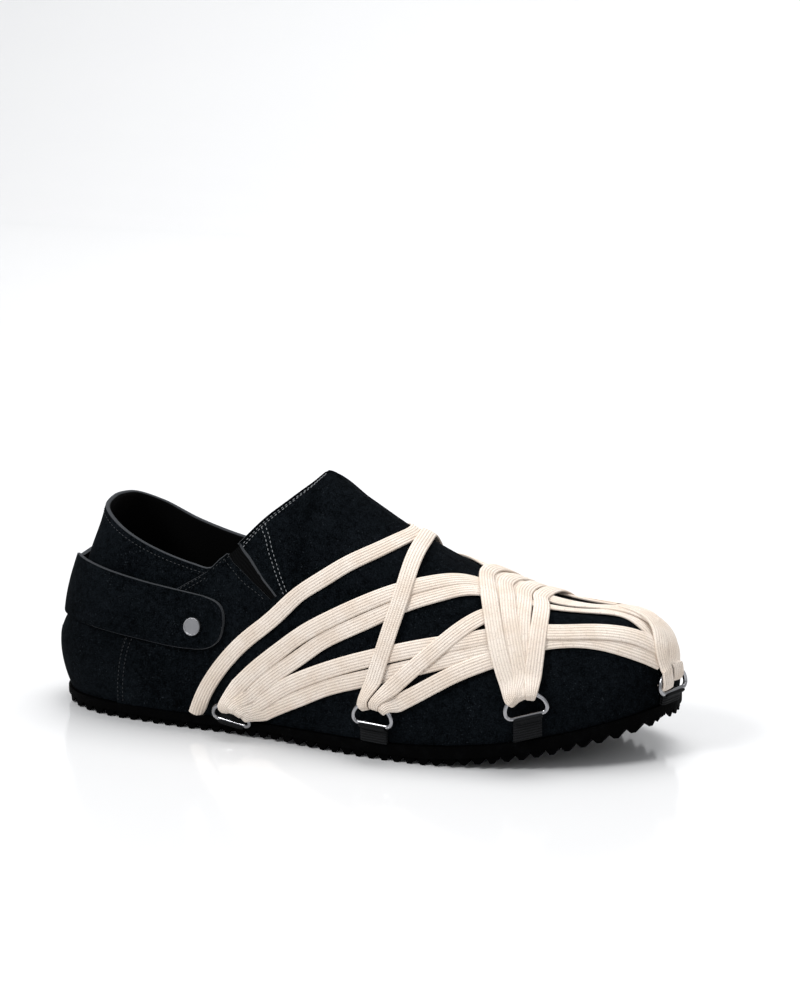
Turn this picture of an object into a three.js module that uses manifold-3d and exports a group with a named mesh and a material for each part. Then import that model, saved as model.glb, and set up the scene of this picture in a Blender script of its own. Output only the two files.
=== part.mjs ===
// A slip-on shoe for the right foot: a low suede upper on a thin saw-toothed rubber sole, with an
// elastic gusset at each side of the throat, a strap snapped on round the heel, and a flat lace
// that runs over the vamp between seven D-rings.
//
// Millimetres. +X points to the toe, +Y to the inner side of the foot, +Z up. The floor is Z = 0.
//
// A place on the upper is given by two shares. "along" runs round the sole's edge from the heel,
// 0, to the toe's tip, 1 on the inner side and -1 on the outer side. "rise" runs up the wall from
// the sole, 0, to the collar or the ridge, 1, and past 1 it comes down the other side.

import * as THREE from 'three';
import Module from 'manifold-3d';

const wasm = await Module();
wasm.setup();

// Main sizes of the shoe
const LENGTH = 284;             // sole, heel to toe
const BALL_WIDTH = 100;         // sole across the ball of the foot
const COLLAR_HEIGHT = 96;       // floor to the back of the collar
const VAMP_HEIGHT = 113.5;      // floor to the peak of the vamp, at the throat
const WALL = 2;                 // suede and its lining
const GAP = 0.3;                // between pieces that touch

// Sole
const SOLE_THICKNESS = 7;
const TOOTH_DEPTH = 3.2;
const TOOTH_PITCH = 6;
const TOOTH_FLAT = 1.8;         // flat bottom of a tooth
const TOOTH_INSET = 0.8;        // teeth stand back from the band above them
const END_NOTCH_LENGTH = 7;     // notches cut into the heel's and the toe's edge
const LEDGE = 1.5;              // sole edge outside the upper
const INSOLE_THICKNESS = 4;

// Gussets
const GUSSET_THICKNESS = 1.2;
const GUSSET_WIDTH = 7;         // at the throat's edge

// Heel strap and its snaps
const STRAP_THICKNESS = 2.2;
const STRAP_CLEARANCE = 0.8;    // over the upper, so that straight facets stay clear of it
const SNAP_WIDTH = 9;
const SNAP_HEIGHT = 1.6;

// D-rings and the webbing that holds them
const RING_WIDTH = 20;
const RING_HEIGHT = 14.5;
const RING_CORNER = 2.5;
const WIRE = 2;
const WEBBING_WIDTH = 12.5;
const WEBBING_THICKNESS = 1.1;

// Lace
const LACE_WIDTH = 8;
const LACE_THICKNESS = 1.5;
const LACE_CLEARANCE = 0.8;     // over the upper, so that straight facets stay clear of it

const HALF_BALL = BALL_WIDTH / 2;

// Sole outline from the heel round the outer side to the toe's tip and back: length, half width
const OUTLINE = [
  [0.000, 0.00], [0.018, -0.34], [0.080, -0.60], [0.190, -0.715], [0.330, -0.77], [0.465, -0.885],
  [0.590, -0.98], [0.705, -0.97], [0.815, -0.82], [0.910, -0.55], [0.975, -0.19], [1.000, 0.16],
  [0.985, 0.52], [0.920, 0.82], [0.810, 1.00], [0.690, 1.01], [0.560, 0.83], [0.430, 0.66],
  [0.300, 0.66], [0.180, 0.68], [0.075, 0.575], [0.017, 0.33],
];
const TOE_TIP = 11;             // row of the outline at the toe's tip

// Side view of the sole, as shares of LENGTH and SOLE_THICKNESS
const SOLE_PROFILE = table(['x', 'bottom', 'top'], [
  [0.00, 0.14, 1.00],
  [0.05, 0.03, 0.98],
  [0.10, 0.00, 0.98],
  [0.26, 0.00, 1.00],
  [0.40, 0.14, 1.07],
  [0.53, 0.00, 1.10],
  [0.64, 0.00, 1.20],
  [0.74, 0.31, 1.51],
  [0.82, 0.80, 1.97],
  [0.90, 1.50, 2.63],
  [0.96, 2.07, 3.17],
  [1.00, 2.50, 3.57],
]);

// Ribs of the last, heel to toe. Each starts at the sole's edge and ends on the collar or, past the
// peak, on the ridge. x is a share of LENGTH, top a height, half, ridge, flare and reach shares of half
// the ball width. The wall leaves the sole with a handle of low (share of the height) and flare, and
// arrives with one of reach and fall (share of COLLAR_HEIGHT).
const RIBS = table(['along', 'x', 'half', 'top', 'ridge', 'low', 'flare', 'reach', 'fall'], [
  [0.000, 0.070, 0.00, 1.000 * COLLAR_HEIGHT, 0.00, 0.34, 0.32, 0.18, 0.31],
  [0.060, 0.081, 0.32, 0.974 * COLLAR_HEIGHT, 0.00, 0.36, 0.24, 0.14, 0.29],
  [0.120, 0.116, 0.50, 0.917 * COLLAR_HEIGHT, 0.00, 0.40, 0.15, 0.10, 0.27],
  [0.200, 0.180, 0.56, 0.828 * COLLAR_HEIGHT, 0.00, 0.45, 0.10, 0.08, 0.23],
  [0.270, 0.254, 0.57, 0.765 * COLLAR_HEIGHT, 0.00, 0.48, 0.08, 0.07, 0.20],
  [0.292, 0.277, 0.57, 0.752 * COLLAR_HEIGHT, 0.00, 0.48, 0.08, 0.07, 0.19],
  [0.312, 0.299, 0.57, 0.680 * VAMP_HEIGHT, 0.00, 0.45, 0.08, 0.08, 0.19],
  [0.340, 0.330, 0.57, 0.745 * VAMP_HEIGHT, 0.00, 0.42, 0.08, 0.09, 0.18],
  [0.370, 0.367, 0.50, 0.841 * VAMP_HEIGHT, 0.00, 0.40, 0.08, 0.14, 0.13],
  [0.405, 0.408, 0.35, 0.926 * VAMP_HEIGHT, 0.00, 0.38, 0.08, 0.24, 0.08],
  [0.425, 0.431, 0.20, 0.972 * VAMP_HEIGHT, 0.00, 0.38, 0.08, 0.34, 0.03],
  [0.440, 0.442, 0.00, 1.000 * VAMP_HEIGHT, 0.00, 0.38, 0.08, 0.43, 0.00],
  [0.500, 0.500, 0.00, 0.912 * VAMP_HEIGHT, 0.00, 0.40, 0.08, 0.45, 0.00],
  [0.570, 0.563, 0.00, 0.811 * VAMP_HEIGHT, 0.00, 0.42, 0.08, 0.47, 0.00],
  [0.650, 0.634, 0.00, 0.714 * VAMP_HEIGHT, 0.00, 0.45, 0.08, 0.50, 0.00],
  [0.730, 0.704, 0.00, 0.639 * VAMP_HEIGHT, 0.02, 0.50, 0.08, 0.52, 0.00],
  [0.810, 0.771, 0.00, 0.595 * VAMP_HEIGHT, 0.06, 0.54, 0.08, 0.54, 0.00],
  [0.890, 0.831, 0.00, 0.573 * VAMP_HEIGHT, 0.10, 0.58, 0.08, 0.54, 0.00],
  [0.950, 0.870, 0.00, 0.555 * VAMP_HEIGHT, 0.12, 0.60, 0.08, 0.52, 0.00],
  [1.000, 0.891, 0.00, 0.542 * VAMP_HEIGHT, 0.14, 0.62, 0.08, 0.48, 0.00],
]);
const NOTCH = 0.292;            // rib at the collar's low corner
const PEAK = 0.44;              // rib at the vamp's peak, where the collar ends and the ridge starts

// Gusset slit on each side: its corner at the throat's edge and its point below
const SLIT_TOP = { along: 0.338, rise: 1.0 };
const SLIT_POINT = { along: 0.398, rise: 0.47 };

// Heel strap from the heel forward: heights of its edges as shares of COLLAR_HEIGHT, and how far
// each edge stands off the upper in millimetres
const STRAP = table(['along', 'low', 'high', 'offLow', 'offHigh'], [
  [0.00, 0.44, 0.72, 1.2, 4.2],
  [0.06, 0.44, 0.71, 0.9, 3.4],
  [0.13, 0.43, 0.68, 0.4, 1.2],
  [0.20, 0.41, 0.655, 0.0, 0.2],
  [0.27, 0.39, 0.635, 0.0, 0.0],
  [0.30, 0.39, 0.625, 0.0, 0.0],
]);
const STRAP_END = 0.326;        // where the round end of the strap lies
const STRAP_ROUND = 0.05;       // share of "along" that the round end takes up
const SNAP = { along: 0.28, z: 0.49 };

// D-rings: where each one's bar lies. The toe's ring lies at the outer side of the tip.
const RINGS = [
  { name: 'rear_lateral', along: -0.345, rise: 0.045 },
  { name: 'mid_lateral', along: -0.552, rise: 0.075 },
  { name: 'front_lateral', along: -0.770, rise: 0.13 },
  { name: 'toe', along: -0.975, rise: 0.13 },
  { name: 'front_medial', along: 0.770, rise: 0.13 },
  { name: 'mid_medial', along: 0.552, rise: 0.075 },
  { name: 'rear_medial', along: 0.345, rise: 0.045 },
];

// Routes of the lace on the outer side: along, rise, layer, width in laces. Strands that lie side by
// side are one band. The crossings go over the ridge and come down the inner side the same way, and
// the side runs are mirrored.
const CROSSINGS = {
  rear: [[0.283, 0.03, 0, 1], [0.292, 0.14, 0, 1], [0.325, 0.31, 0, 1], [0.365, 0.405, 0, 1],
    [0.42, 0.445, 0, 1], [0.475, 0.54, 0, 1], [0.525, 0.69, 0, 1], [0.568, 0.86, 0, 1], [0.585, 1, 0, 1]],
  middle: [[0.562, 0.21, 0, 1], [0.568, 0.32, 0.6, 1], [0.580, 0.48, 1, 1], [0.592, 0.66, 1, 1],
    [0.602, 0.84, 1, 1], [0.604, 1, 1, 1]],
  front_back: [[0.757, 0.33, 0.3, 1], [0.748, 0.52, 1, 1.3], [0.738, 0.74, 1, 1.6], [0.720, 1, 1, 2]],
  front_toe: [[0.778, 0.33, 0.3, 1], [0.788, 0.54, 1, 1.3], [0.800, 0.77, 1, 1.6], [0.804, 1, 1, 2]],
};
const SIDE_RUNS = {
  high: [[0.362, 0.16, 0, 1], [0.40, 0.225, 0, 1.3], [0.467, 0.32, 0, 1.8], [0.54, 0.455, 0, 2],
    [0.60, 0.575, 0, 2], [0.66, 0.685, 0, 2], [0.715, 0.77, 0, 1.8], [0.78, 0.80, 0, 1.4],
    [0.84, 0.80, 0, 1], [0.90, 0.80, 0, 1], [0.955, 0.70, 0, 1]],
  low: [[0.376, 0.12, 0, 1], [0.437, 0.15, 0, 1.6], [0.51, 0.215, 0, 1.9], [0.585, 0.30, 0, 2],
    [0.645, 0.375, 0, 2], [0.71, 0.445, 0, 2], [0.79, 0.51, 0, 2], [0.85, 0.54, 0, 1.8],
    [0.91, 0.525, 0, 1.6], [0.957, 0.46, 0, 1.3]],
  fan_high: [[0.575, 0.21, 0.2, 1], [0.61, 0.30, 0.6, 1], [0.65, 0.44, 1, 1], [0.69, 0.56, 1, 1],
    [0.725, 0.62, 0.5, 1]],
  fan_low: [[0.580, 0.185, 0.1, 1], [0.625, 0.24, 0.4, 1], [0.68, 0.34, 0.5, 1], [0.735, 0.41, 0.3, 1]],
};
const TOE_WRAP = [[0.975, 0.37, 0.6, 1.4], [0.985, 0.52, 1, 1.5], [0.985, 0.76, 1, 1.5]];

// Small helpers

// Reader for a table whose rows are keyed by their first column. It is smooth between the rows and
// level at a row that is a high or a low, so that it never passes that row.
function table(columns, rows) {
  const slope = (i, c) => (rows[i + 1][c] - rows[i][c]) / (rows[i + 1][0] - rows[i][0]);
  const tangent = (i, c) => {
    if (i === 0) return slope(0, c);
    if (i === rows.length - 1) return slope(i - 1, c);
    if (slope(i - 1, c) * slope(i, c) <= 0) return 0;
    const before = rows[i][0] - rows[i - 1][0];
    const after = rows[i + 1][0] - rows[i][0];
    return (slope(i - 1, c) * after + slope(i, c) * before) / (before + after);
  };
  return (key) => {
    let i = 0;
    while (i < rows.length - 2 && key >= rows[i + 1][0]) i += 1;
    const step = rows[i + 1][0] - rows[i][0];
    const t = THREE.MathUtils.clamp((key - rows[i][0]) / step, 0, 1);
    const result = {};
    columns.forEach((name, c) => {
      result[name] = (2 * t ** 3 - 3 * t ** 2 + 1) * rows[i][c]
        + (t ** 3 - 2 * t ** 2 + t) * step * tangent(i, c)
        + (-2 * t ** 3 + 3 * t ** 2) * rows[i + 1][c]
        + (t ** 3 - t ** 2) * step * tangent(i + 1, c);
    });
    return result;
  };
}

const spread = (from, to, steps) => Array.from({ length: steps + 1 }, (_, i) => from + (to - from) * i / steps);

// A closed solid from points and triangles, turned so that its faces point out
function solidOf(points, triangles) {
  let volume = 0;
  for (const [a, b, c] of triangles) volume += points[a].dot(points[b].clone().cross(points[c]));
  const turned = volume < 0 ? triangles.map(([a, b, c]) => [a, c, b]) : triangles;
  const vertProperties = new Float32Array(points.flatMap((p) => [p.x, p.y, p.z]));
  const triVerts = new Uint32Array(turned.flat());
  return new wasm.Manifold(new wasm.Mesh({ numProp: 3, vertProperties, triVerts }));
}

// A solid through closed sections that all have the same number of points
function loft(sections, ring = false) {
  const size = sections[0].length;
  const count = sections.length;
  const points = sections.flat();
  const triangles = [];
  const last = ring ? count : count - 1;
  for (let i = 0; i < last; i += 1) {
    const next = (i + 1) % count;
    for (let j = 0; j < size; j += 1) {
      const k = (j + 1) % size;
      triangles.push([i * size + j, next * size + j, next * size + k]);
      triangles.push([i * size + j, next * size + k, i * size + k]);
    }
  }
  if (!ring) {
    for (let j = 1; j < size - 1; j += 1) {
      triangles.push([0, j, j + 1]);
      triangles.push([(count - 1) * size, (count - 1) * size + j + 1, (count - 1) * size + j]);
    }
  }
  return solidOf(points, triangles);
}

// A prism of a plane outline, with its origin and its axes in space
function prism(outline, height, origin, across, up, out, hole = null) {
  const shape = new THREE.Shape(outline);
  if (hole) shape.holes.push(new THREE.Path(hole));
  const geometry = new THREE.ExtrudeGeometry(shape, { depth: height, bevelEnabled: false });
  const { points, triangles } = weld(geometry);
  const frame = new THREE.Matrix4().makeBasis(across, up, out).setPosition(origin);
  return solidOf(points.map((p) => p.applyMatrix4(frame)), triangles);
}

// Shared points and triangles of a three.js geometry
function weld(geometry) {
  const position = geometry.attributes.position;
  const index = geometry.index ? Array.from(geometry.index.array) : [...Array(position.count).keys()];
  const seen = new Map();
  const points = [];
  const link = index.map((i) => {
    const p = new THREE.Vector3().fromBufferAttribute(position, i);
    const key = [p.x, p.y, p.z].map((v) => Math.round(v * 1e4)).join();
    if (!seen.has(key)) seen.set(key, points.push(p) - 1);
    return seen.get(key);
  });
  const triangles = [];
  for (let i = 0; i < link.length; i += 3) {
    const [a, b, c] = [link[i], link[i + 1], link[i + 2]];
    if (a !== b && b !== c && c !== a) triangles.push([a, b, c]);
  }
  return { points, triangles };
}

const X = new THREE.Vector3(1, 0, 0);
const Y = new THREE.Vector3(0, 1, 0);
const Z = new THREE.Vector3(0, 0, 1);
const ORIGIN = new THREE.Vector3();

// Sole outline

const SPAN_STEPS = 24;          // points that stand in for the curve between two rows of the outline

const [outerEdge, innerEdge] = (() => {
  const rows = OUTLINE.map(([x, y]) => new THREE.Vector3(x * LENGTH, y * HALF_BALL, 0));
  const curve = new THREE.CatmullRomCurve3(rows, true, 'centripetal');
  const points = curve.getPoints(rows.length * SPAN_STEPS);
  const tip = TOE_TIP * SPAN_STEPS;
  return [points.slice(0, tip + 1), points.slice(tip).reverse()].map((side) => {
    const lengths = [0];
    for (let i = 1; i < side.length; i += 1) lengths.push(lengths[i - 1] + side[i].distanceTo(side[i - 1]));
    return { side, lengths, total: lengths[side.length - 1] };
  });
})();

function wrapAlong(along) {
  if (along > 1) return along - 2;
  if (along < -1) return along + 2;
  return along;
}

function edgePoint(along) {
  const share = wrapAlong(along);
  const { side, lengths, total } = share < 0 ? outerEdge : innerEdge;
  const goal = Math.abs(share) * total;
  let i = 1;
  while (i < side.length - 1 && lengths[i] < goal) i += 1;
  const t = (goal - lengths[i - 1]) / (lengths[i] - lengths[i - 1]);
  return side[i - 1].clone().lerp(side[i], t);
}

const PLAN_STEP = 0.004;        // step of "along" for the direction of the edge

function edgeOut(along) {
  const run = edgePoint(along + PLAN_STEP).sub(edgePoint(along - PLAN_STEP));
  return new THREE.Vector3(-run.y, run.x, 0).normalize();
}

// The edge of the sole, moved in by some distance
function insetPoint(along, inset) {
  return edgePoint(along).addScaledVector(edgeOut(along), -inset);
}

function soleTop(x) {
  return SOLE_PROFILE(THREE.MathUtils.clamp(x / LENGTH, 0, 1)).top * SOLE_THICKNESS;
}

function soleBottom(x) {
  return SOLE_PROFILE(THREE.MathUtils.clamp(x / LENGTH, 0, 1)).bottom * SOLE_THICKNESS;
}

// The upper's outer face

function upperPoint(along, rise) {
  if (rise > 1) return upperPoint(-along, 2 - rise);
  const share = wrapAlong(along);
  const side = share < 0 ? -1 : 1;
  const rib = RIBS(Math.abs(share));
  const foot = insetPoint(share, LEDGE);
  foot.z = soleTop(foot.x) + GAP;
  const top = new THREE.Vector3(rib.x * LENGTH, (rib.ridge + side * rib.half) * HALF_BALL, rib.top);
  const outward = new THREE.Vector3(foot.x - top.x, foot.y - top.y, 0).normalize();
  const low = foot.clone().addScaledVector(edgeOut(share), rib.flare * HALF_BALL);
  low.z += rib.low * (top.z - foot.z);
  const high = top.clone().addScaledVector(outward, rib.reach * HALF_BALL);
  high.z -= rib.fall * COLLAR_HEIGHT;
  return new THREE.CubicBezierCurve3(foot, low, high, top).getPoint(rise);
}

const FACE_STEP = 0.004;        // step of both shares for the direction of the face
const RIDGE_END = 0.98;         // stand-in for the ridge's end, where the two shares lose their meaning

function upperNormal(along, rise) {
  if (Math.abs(along) > RIDGE_END && Math.abs(rise - 1) < 1 - RIDGE_END) {
    const before = upperNormal(RIDGE_END, 1);
    return before.add(upperNormal(1, RIDGE_END)).normalize();
  }
  const open = Math.abs(wrapAlong(along)) < PEAK;
  const high = open && rise <= 1 ? Math.min(rise + FACE_STEP, 1) : rise + FACE_STEP;
  const low = open && rise > 1 ? Math.max(rise - FACE_STEP, 1) : Math.max(rise - FACE_STEP, 0);
  const up = upperPoint(along, high).sub(upperPoint(along, low));
  const round = upperPoint(along + FACE_STEP, rise).sub(upperPoint(along - FACE_STEP, rise));
  return up.cross(round).normalize();
}

function onUpper(along, rise, lift) {
  return upperPoint(along, rise).addScaledVector(upperNormal(along, rise), lift);
}

// Share of the rise at which the wall reaches a height
function riseAt(along, z) {
  let [low, high] = [0, 1];
  for (let i = 0; i < 24; i += 1) {
    const middle = (low + high) / 2;
    if (upperPoint(along, middle).z < z) low = middle;
    else high = middle;
  }
  return (low + high) / 2;
}

// Upper

const HEEL_STEPS = 10;
const THROAT_STEPS = 6;
const FRONT_STEPS = 18;
const RISE_STEPS = 9;

// A hollow solid between two distances from the upper's outer face, open at the collar and below
function upperShell(outer, inner) {
  const stations = [...spread(0, NOTCH, HEEL_STEPS), ...spread(NOTCH, PEAK, THROAT_STEPS).slice(1),
    ...spread(PEAK, 1, FRONT_STEPS).slice(1)];
  const peak = stations.indexOf(PEAK);
  const rises = spread(0, 1, RISE_STEPS);
  const points = [];
  const triangles = [];
  const known = new Map();
  const vertex = (side, i, j, lift) => {
    const ridge = j === RISE_STEPS && i >= peak;
    const shared = i === 0 || i === stations.length - 1 || ridge;
    const key = [shared ? 1 : side, i, j, lift].join();
    if (!known.has(key)) {
      const along = shared ? stations[i] : side * stations[i];
      known.set(key, points.push(onUpper(along, rises[j], lift)) - 1);
    }
    return known.get(key);
  };
  const quad = (a, b, c, d) => {
    triangles.push([a, b, c]);
    triangles.push([a, c, d]);
  };
  for (const side of [1, -1]) {
    const face = side > 0 ? quad : (a, b, c, d) => quad(d, c, b, a);
    for (let i = 0; i < stations.length - 1; i += 1) {
      for (let j = 0; j < RISE_STEPS; j += 1) {
        const corners = [[i, j], [i + 1, j], [i + 1, j + 1], [i, j + 1]];
        face(...corners.map(([a, b]) => vertex(side, a, b, outer)));
        face(...corners.map(([a, b]) => vertex(side, a, b, inner)).reverse());
      }
      face(vertex(side, i, 0, inner), vertex(side, i + 1, 0, inner),
        vertex(side, i + 1, 0, outer), vertex(side, i, 0, outer));
      if (i < peak) {
        face(vertex(side, i, RISE_STEPS, outer), vertex(side, i + 1, RISE_STEPS, outer),
          vertex(side, i + 1, RISE_STEPS, inner), vertex(side, i, RISE_STEPS, inner));
      }
    }
  }
  return solidOf(points, triangles);
}

// Wedge through one wall, over the gusset's slit, made smaller by some margin
function slitWedge(side, margin) {
  const point = upperPoint(side * SLIT_POINT.along, SLIT_POINT.rise);
  const top = upperPoint(side * SLIT_TOP.along, SLIT_TOP.rise);
  const out = upperNormal(side * SLIT_POINT.along, SLIT_POINT.rise);
  const run = top.clone().sub(point);
  const up = run.clone().addScaledVector(out, -run.dot(out)).normalize();
  const across = up.clone().cross(out);
  const length = run.length() * 1.4;
  const half = GUSSET_WIDTH / 2 * 1.4 - margin;
  const outline = [[0, 6 * margin], [half - margin, length], [margin - half, length]];
  const reach = 9 * WALL;
  return prism(outline.map(([u, v]) => new THREE.Vector2(u, v)), 2 * reach,
    point.clone().addScaledVector(out, -reach), across, up, out);
}

function makeUpper() {
  const shell = upperShell(0, -WALL);
  return shell.subtract(slitWedge(1, 0)).subtract(slitWedge(-1, 0));
}

function makeGusset(side) {
  const depth = (WALL - GUSSET_THICKNESS) / 2;
  const shell = upperShell(-depth, -depth - GUSSET_THICKNESS);
  return shell.intersect(slitWedge(side, GAP)).decompose()[0];
}

// Sole

const OUTLINE_STEPS = 40;       // along each side
const SIDE_STATIONS = 28;       // along the side view

function planOutline(inset, steps) {
  const stations = [...spread(-1, 0, steps), ...spread(0, 1, steps).slice(1, -1)];
  return stations.map((along) => {
    const p = insetPoint(along, inset);
    return new THREE.Vector2(p.x, p.y);
  });
}

// A solid with a plan outline and a side view
function planAndSide(plan, side) {
  const tall = prism(plan, 3 * COLLAR_HEIGHT, new THREE.Vector3(0, 0, -COLLAR_HEIGHT), X, Y, Z);
  const wide = prism(side, 2 * BALL_WIDTH, new THREE.Vector3(0, BALL_WIDTH, 0), X, Z, Y.clone().negate());
  return tall.intersect(wide);
}

function makeSole() {
  const margin = TOOTH_PITCH;
  const xs = spread(-margin, LENGTH + margin, SIDE_STATIONS);
  const line = (height) => xs.map((x) => new THREE.Vector2(x, height(x)));
  const band = planAndSide(planOutline(0, OUTLINE_STEPS),
    [...line((x) => soleBottom(x) + TOOTH_DEPTH), ...line(soleTop).reverse()]);
  const teeth = [];
  const count = Math.ceil((LENGTH + 2 * margin) / TOOTH_PITCH);
  for (let i = 0; i < count; i += 1) {
    const x = -margin + i * TOOTH_PITCH;
    teeth.push(new THREE.Vector2(x, soleBottom(x + TOOTH_FLAT / 2)));
    teeth.push(new THREE.Vector2(x + TOOTH_FLAT, soleBottom(x + TOOTH_FLAT / 2)));
    const root = x + (TOOTH_PITCH + TOOTH_FLAT) / 2;
    teeth.push(new THREE.Vector2(root, soleBottom(root) + TOOTH_DEPTH));
  }
  const far = -margin + count * TOOTH_PITCH;
  const lid = xs.filter((x) => x < far).map((x) => new THREE.Vector2(x, soleBottom(x) + 1.25 * TOOTH_DEPTH));
  const tread = planAndSide(planOutline(TOOTH_INSET, OUTLINE_STEPS), [...teeth, ...lid.reverse()]);
  return endNotches().reduce((sole, notch) => sole.subtract(notch), band.add(tread));
}

// Notches that carry the teeth round the heel and the toe, where the cross grooves don't show
function endNotches() {
  const notches = [];
  const spans = [[-0.05, 0.05], [0.955, 1.045]];
  for (const [from, to] of spans) {
    const length = (to - from) * outerEdge.total;
    for (const along of spread(from, to, Math.round(length / TOOTH_PITCH))) {
      const tip = insetPoint(along, -1);
      const out = edgeOut(along);
      const across = new THREE.Vector3(-out.y, out.x, 0);
      const base = soleBottom(tip.x);
      const half = (TOOTH_PITCH - TOOTH_FLAT) / 2;
      const outline = [[-half * 1.6, base - 2], [half * 1.6, base - 2], [0, base + TOOTH_DEPTH * 0.9]];
      const start = tip.clone().addScaledVector(out, -END_NOTCH_LENGTH);
      notches.push(prism(outline.map(([u, v]) => new THREE.Vector2(u, v)), END_NOTCH_LENGTH + 2,
        start, across, Z, out));
    }
  }
  return notches;
}

const INSOLE_STEPS = 22;

function makeInsole() {
  const plan = planOutline(LEDGE + WALL + 2 * GAP, INSOLE_STEPS);
  const xs = spread(0, LENGTH, INSOLE_STEPS);
  const low = xs.map((x) => new THREE.Vector2(x, soleTop(x) + GAP));
  const high = xs.map((x) => new THREE.Vector2(x, soleTop(x) + GAP + INSOLE_THICKNESS)).reverse();
  return planAndSide(plan, [...low, ...high]);
}

// Heel strap and snaps

const STRAP_STEPS = 13;         // on each side of the heel

function strapRow(along) {
  const size = Math.abs(along);
  const row = STRAP(size);
  const past = Math.max(0, size - (STRAP_END - STRAP_ROUND)) / STRAP_ROUND;
  const narrow = Math.sqrt(Math.max(0.01, 1 - past ** 2));
  const middle = (row.low + row.high) / 2;
  const half = (row.high - row.low) / 2;
  return {
    low: (middle - half * narrow) * COLLAR_HEIGHT,
    high: (middle + half * Math.sqrt(narrow)) * COLLAR_HEIGHT,
    offLow: STRAP_CLEARANCE + row.offLow,
    offHigh: STRAP_CLEARANCE + row.offHigh,
  };
}

function makeStrap() {
  const round = STRAP_END - STRAP_ROUND;
  const ends = [0, 0.4, 0.7, 0.9, 0.99].map((share) => round + share * STRAP_ROUND);
  const half = [...spread(0, round, STRAP_STEPS).slice(1, -1), ...ends];
  const stations = [...half.map((along) => -along).reverse(), 0, ...half];
  const shares = [0, 0.5, 1];
  const sections = stations.map((along) => {
    const row = strapRow(along);
    const spots = shares.map((share) => ({
      rise: riseAt(along, THREE.MathUtils.lerp(row.low, row.high, share)),
      off: THREE.MathUtils.lerp(row.offLow, row.offHigh, share),
    }));
    const back = spots.map(({ rise, off }) => onUpper(along, rise, off));
    const front = spots.map(({ rise, off }) => onUpper(along, rise, off + STRAP_THICKNESS));
    return [...back, ...front.reverse()];
  });
  return loft(sections);
}

const SNAP_SIDES = 14;

function makeSnap(side) {
  const along = side * SNAP.along;
  const rise = riseAt(along, SNAP.z * COLLAR_HEIGHT);
  const out = upperNormal(along, rise);
  const base = onUpper(along, rise, STRAP_CLEARANCE + STRAP_THICKNESS + 2 * GAP);
  const radius = SNAP_WIDTH / 2;
  const rim = 0.35 * SNAP_HEIGHT;
  const profile = [[0, 0], [radius, 0], [radius, rim], [0.82 * radius, 0.75 * SNAP_HEIGHT],
    [0.5 * radius, 0.94 * SNAP_HEIGHT], [0, SNAP_HEIGHT]];
  const lathe = new THREE.LatheGeometry(profile.map(([r, h]) => new THREE.Vector2(r, h)), SNAP_SIDES);
  const { points, triangles } = weld(lathe);
  const turn = new THREE.Quaternion().setFromUnitVectors(Y, out);
  return solidOf(points.map((p) => p.applyQuaternion(turn).add(base)), triangles);
}

// D-rings and webbing

// Axes at a ring's bar: across along the bar, up the wall, and out of it
function ringAxes({ along, rise }) {
  const out = upperNormal(along, rise);
  const up = upperPoint(along, rise + 0.03).sub(upperPoint(along, rise)).normalize();
  const across = up.clone().cross(out).normalize();
  up.copy(out).cross(across);
  const lift = GAP + WEBBING_THICKNESS + GAP + WIRE / 2;
  return { out, up, across, bar: onUpper(along, rise, lift) };
}

const WIRE_SIDES = 6;
const RING_TILT = 0.12;         // the round side leans off the wall

function ringPath() {
  const half = (RING_WIDTH - WIRE) / 2;
  const height = RING_HEIGHT - WIRE;
  const flat = half - RING_CORNER;
  const corner = (side) => [0.35, 1].map((share) => {
    const angle = (share - 1) * Math.PI / 2;
    return [side * (flat + RING_CORNER * Math.cos(angle)), RING_CORNER * (1 + Math.sin(angle))];
  });
  const arch = spread(0, Math.PI, 12).slice(1, -1).map((angle) => [
    half * Math.cos(angle), RING_CORNER + (height - RING_CORNER) * Math.sin(angle)]);
  return [[-flat, 0], [flat, 0], ...corner(1), ...arch, ...corner(-1).reverse()];
}

function makeRing(place) {
  const { out, up, across, bar } = ringAxes(place);
  const lean = up.clone().multiplyScalar(Math.cos(RING_TILT)).addScaledVector(out, Math.sin(RING_TILT));
  const face = across.clone().cross(lean);
  const path = ringPath().map(([u, v]) => bar.clone().addScaledVector(across, u).addScaledVector(lean, v));
  const sections = path.map((point, i) => {
    const before = path[(i + path.length - 1) % path.length];
    const after = path[(i + 1) % path.length];
    const run = after.clone().sub(before).normalize();
    const side = run.clone().cross(face).normalize();
    return spread(0, 2 * Math.PI, WIRE_SIDES).slice(0, -1).map((angle) => point.clone()
      .addScaledVector(side, WIRE / 2 * Math.cos(angle)).addScaledVector(face, WIRE / 2 * Math.sin(angle)));
  });
  return loft(sections, true);
}

const EYE_SIDES = 10;

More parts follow.
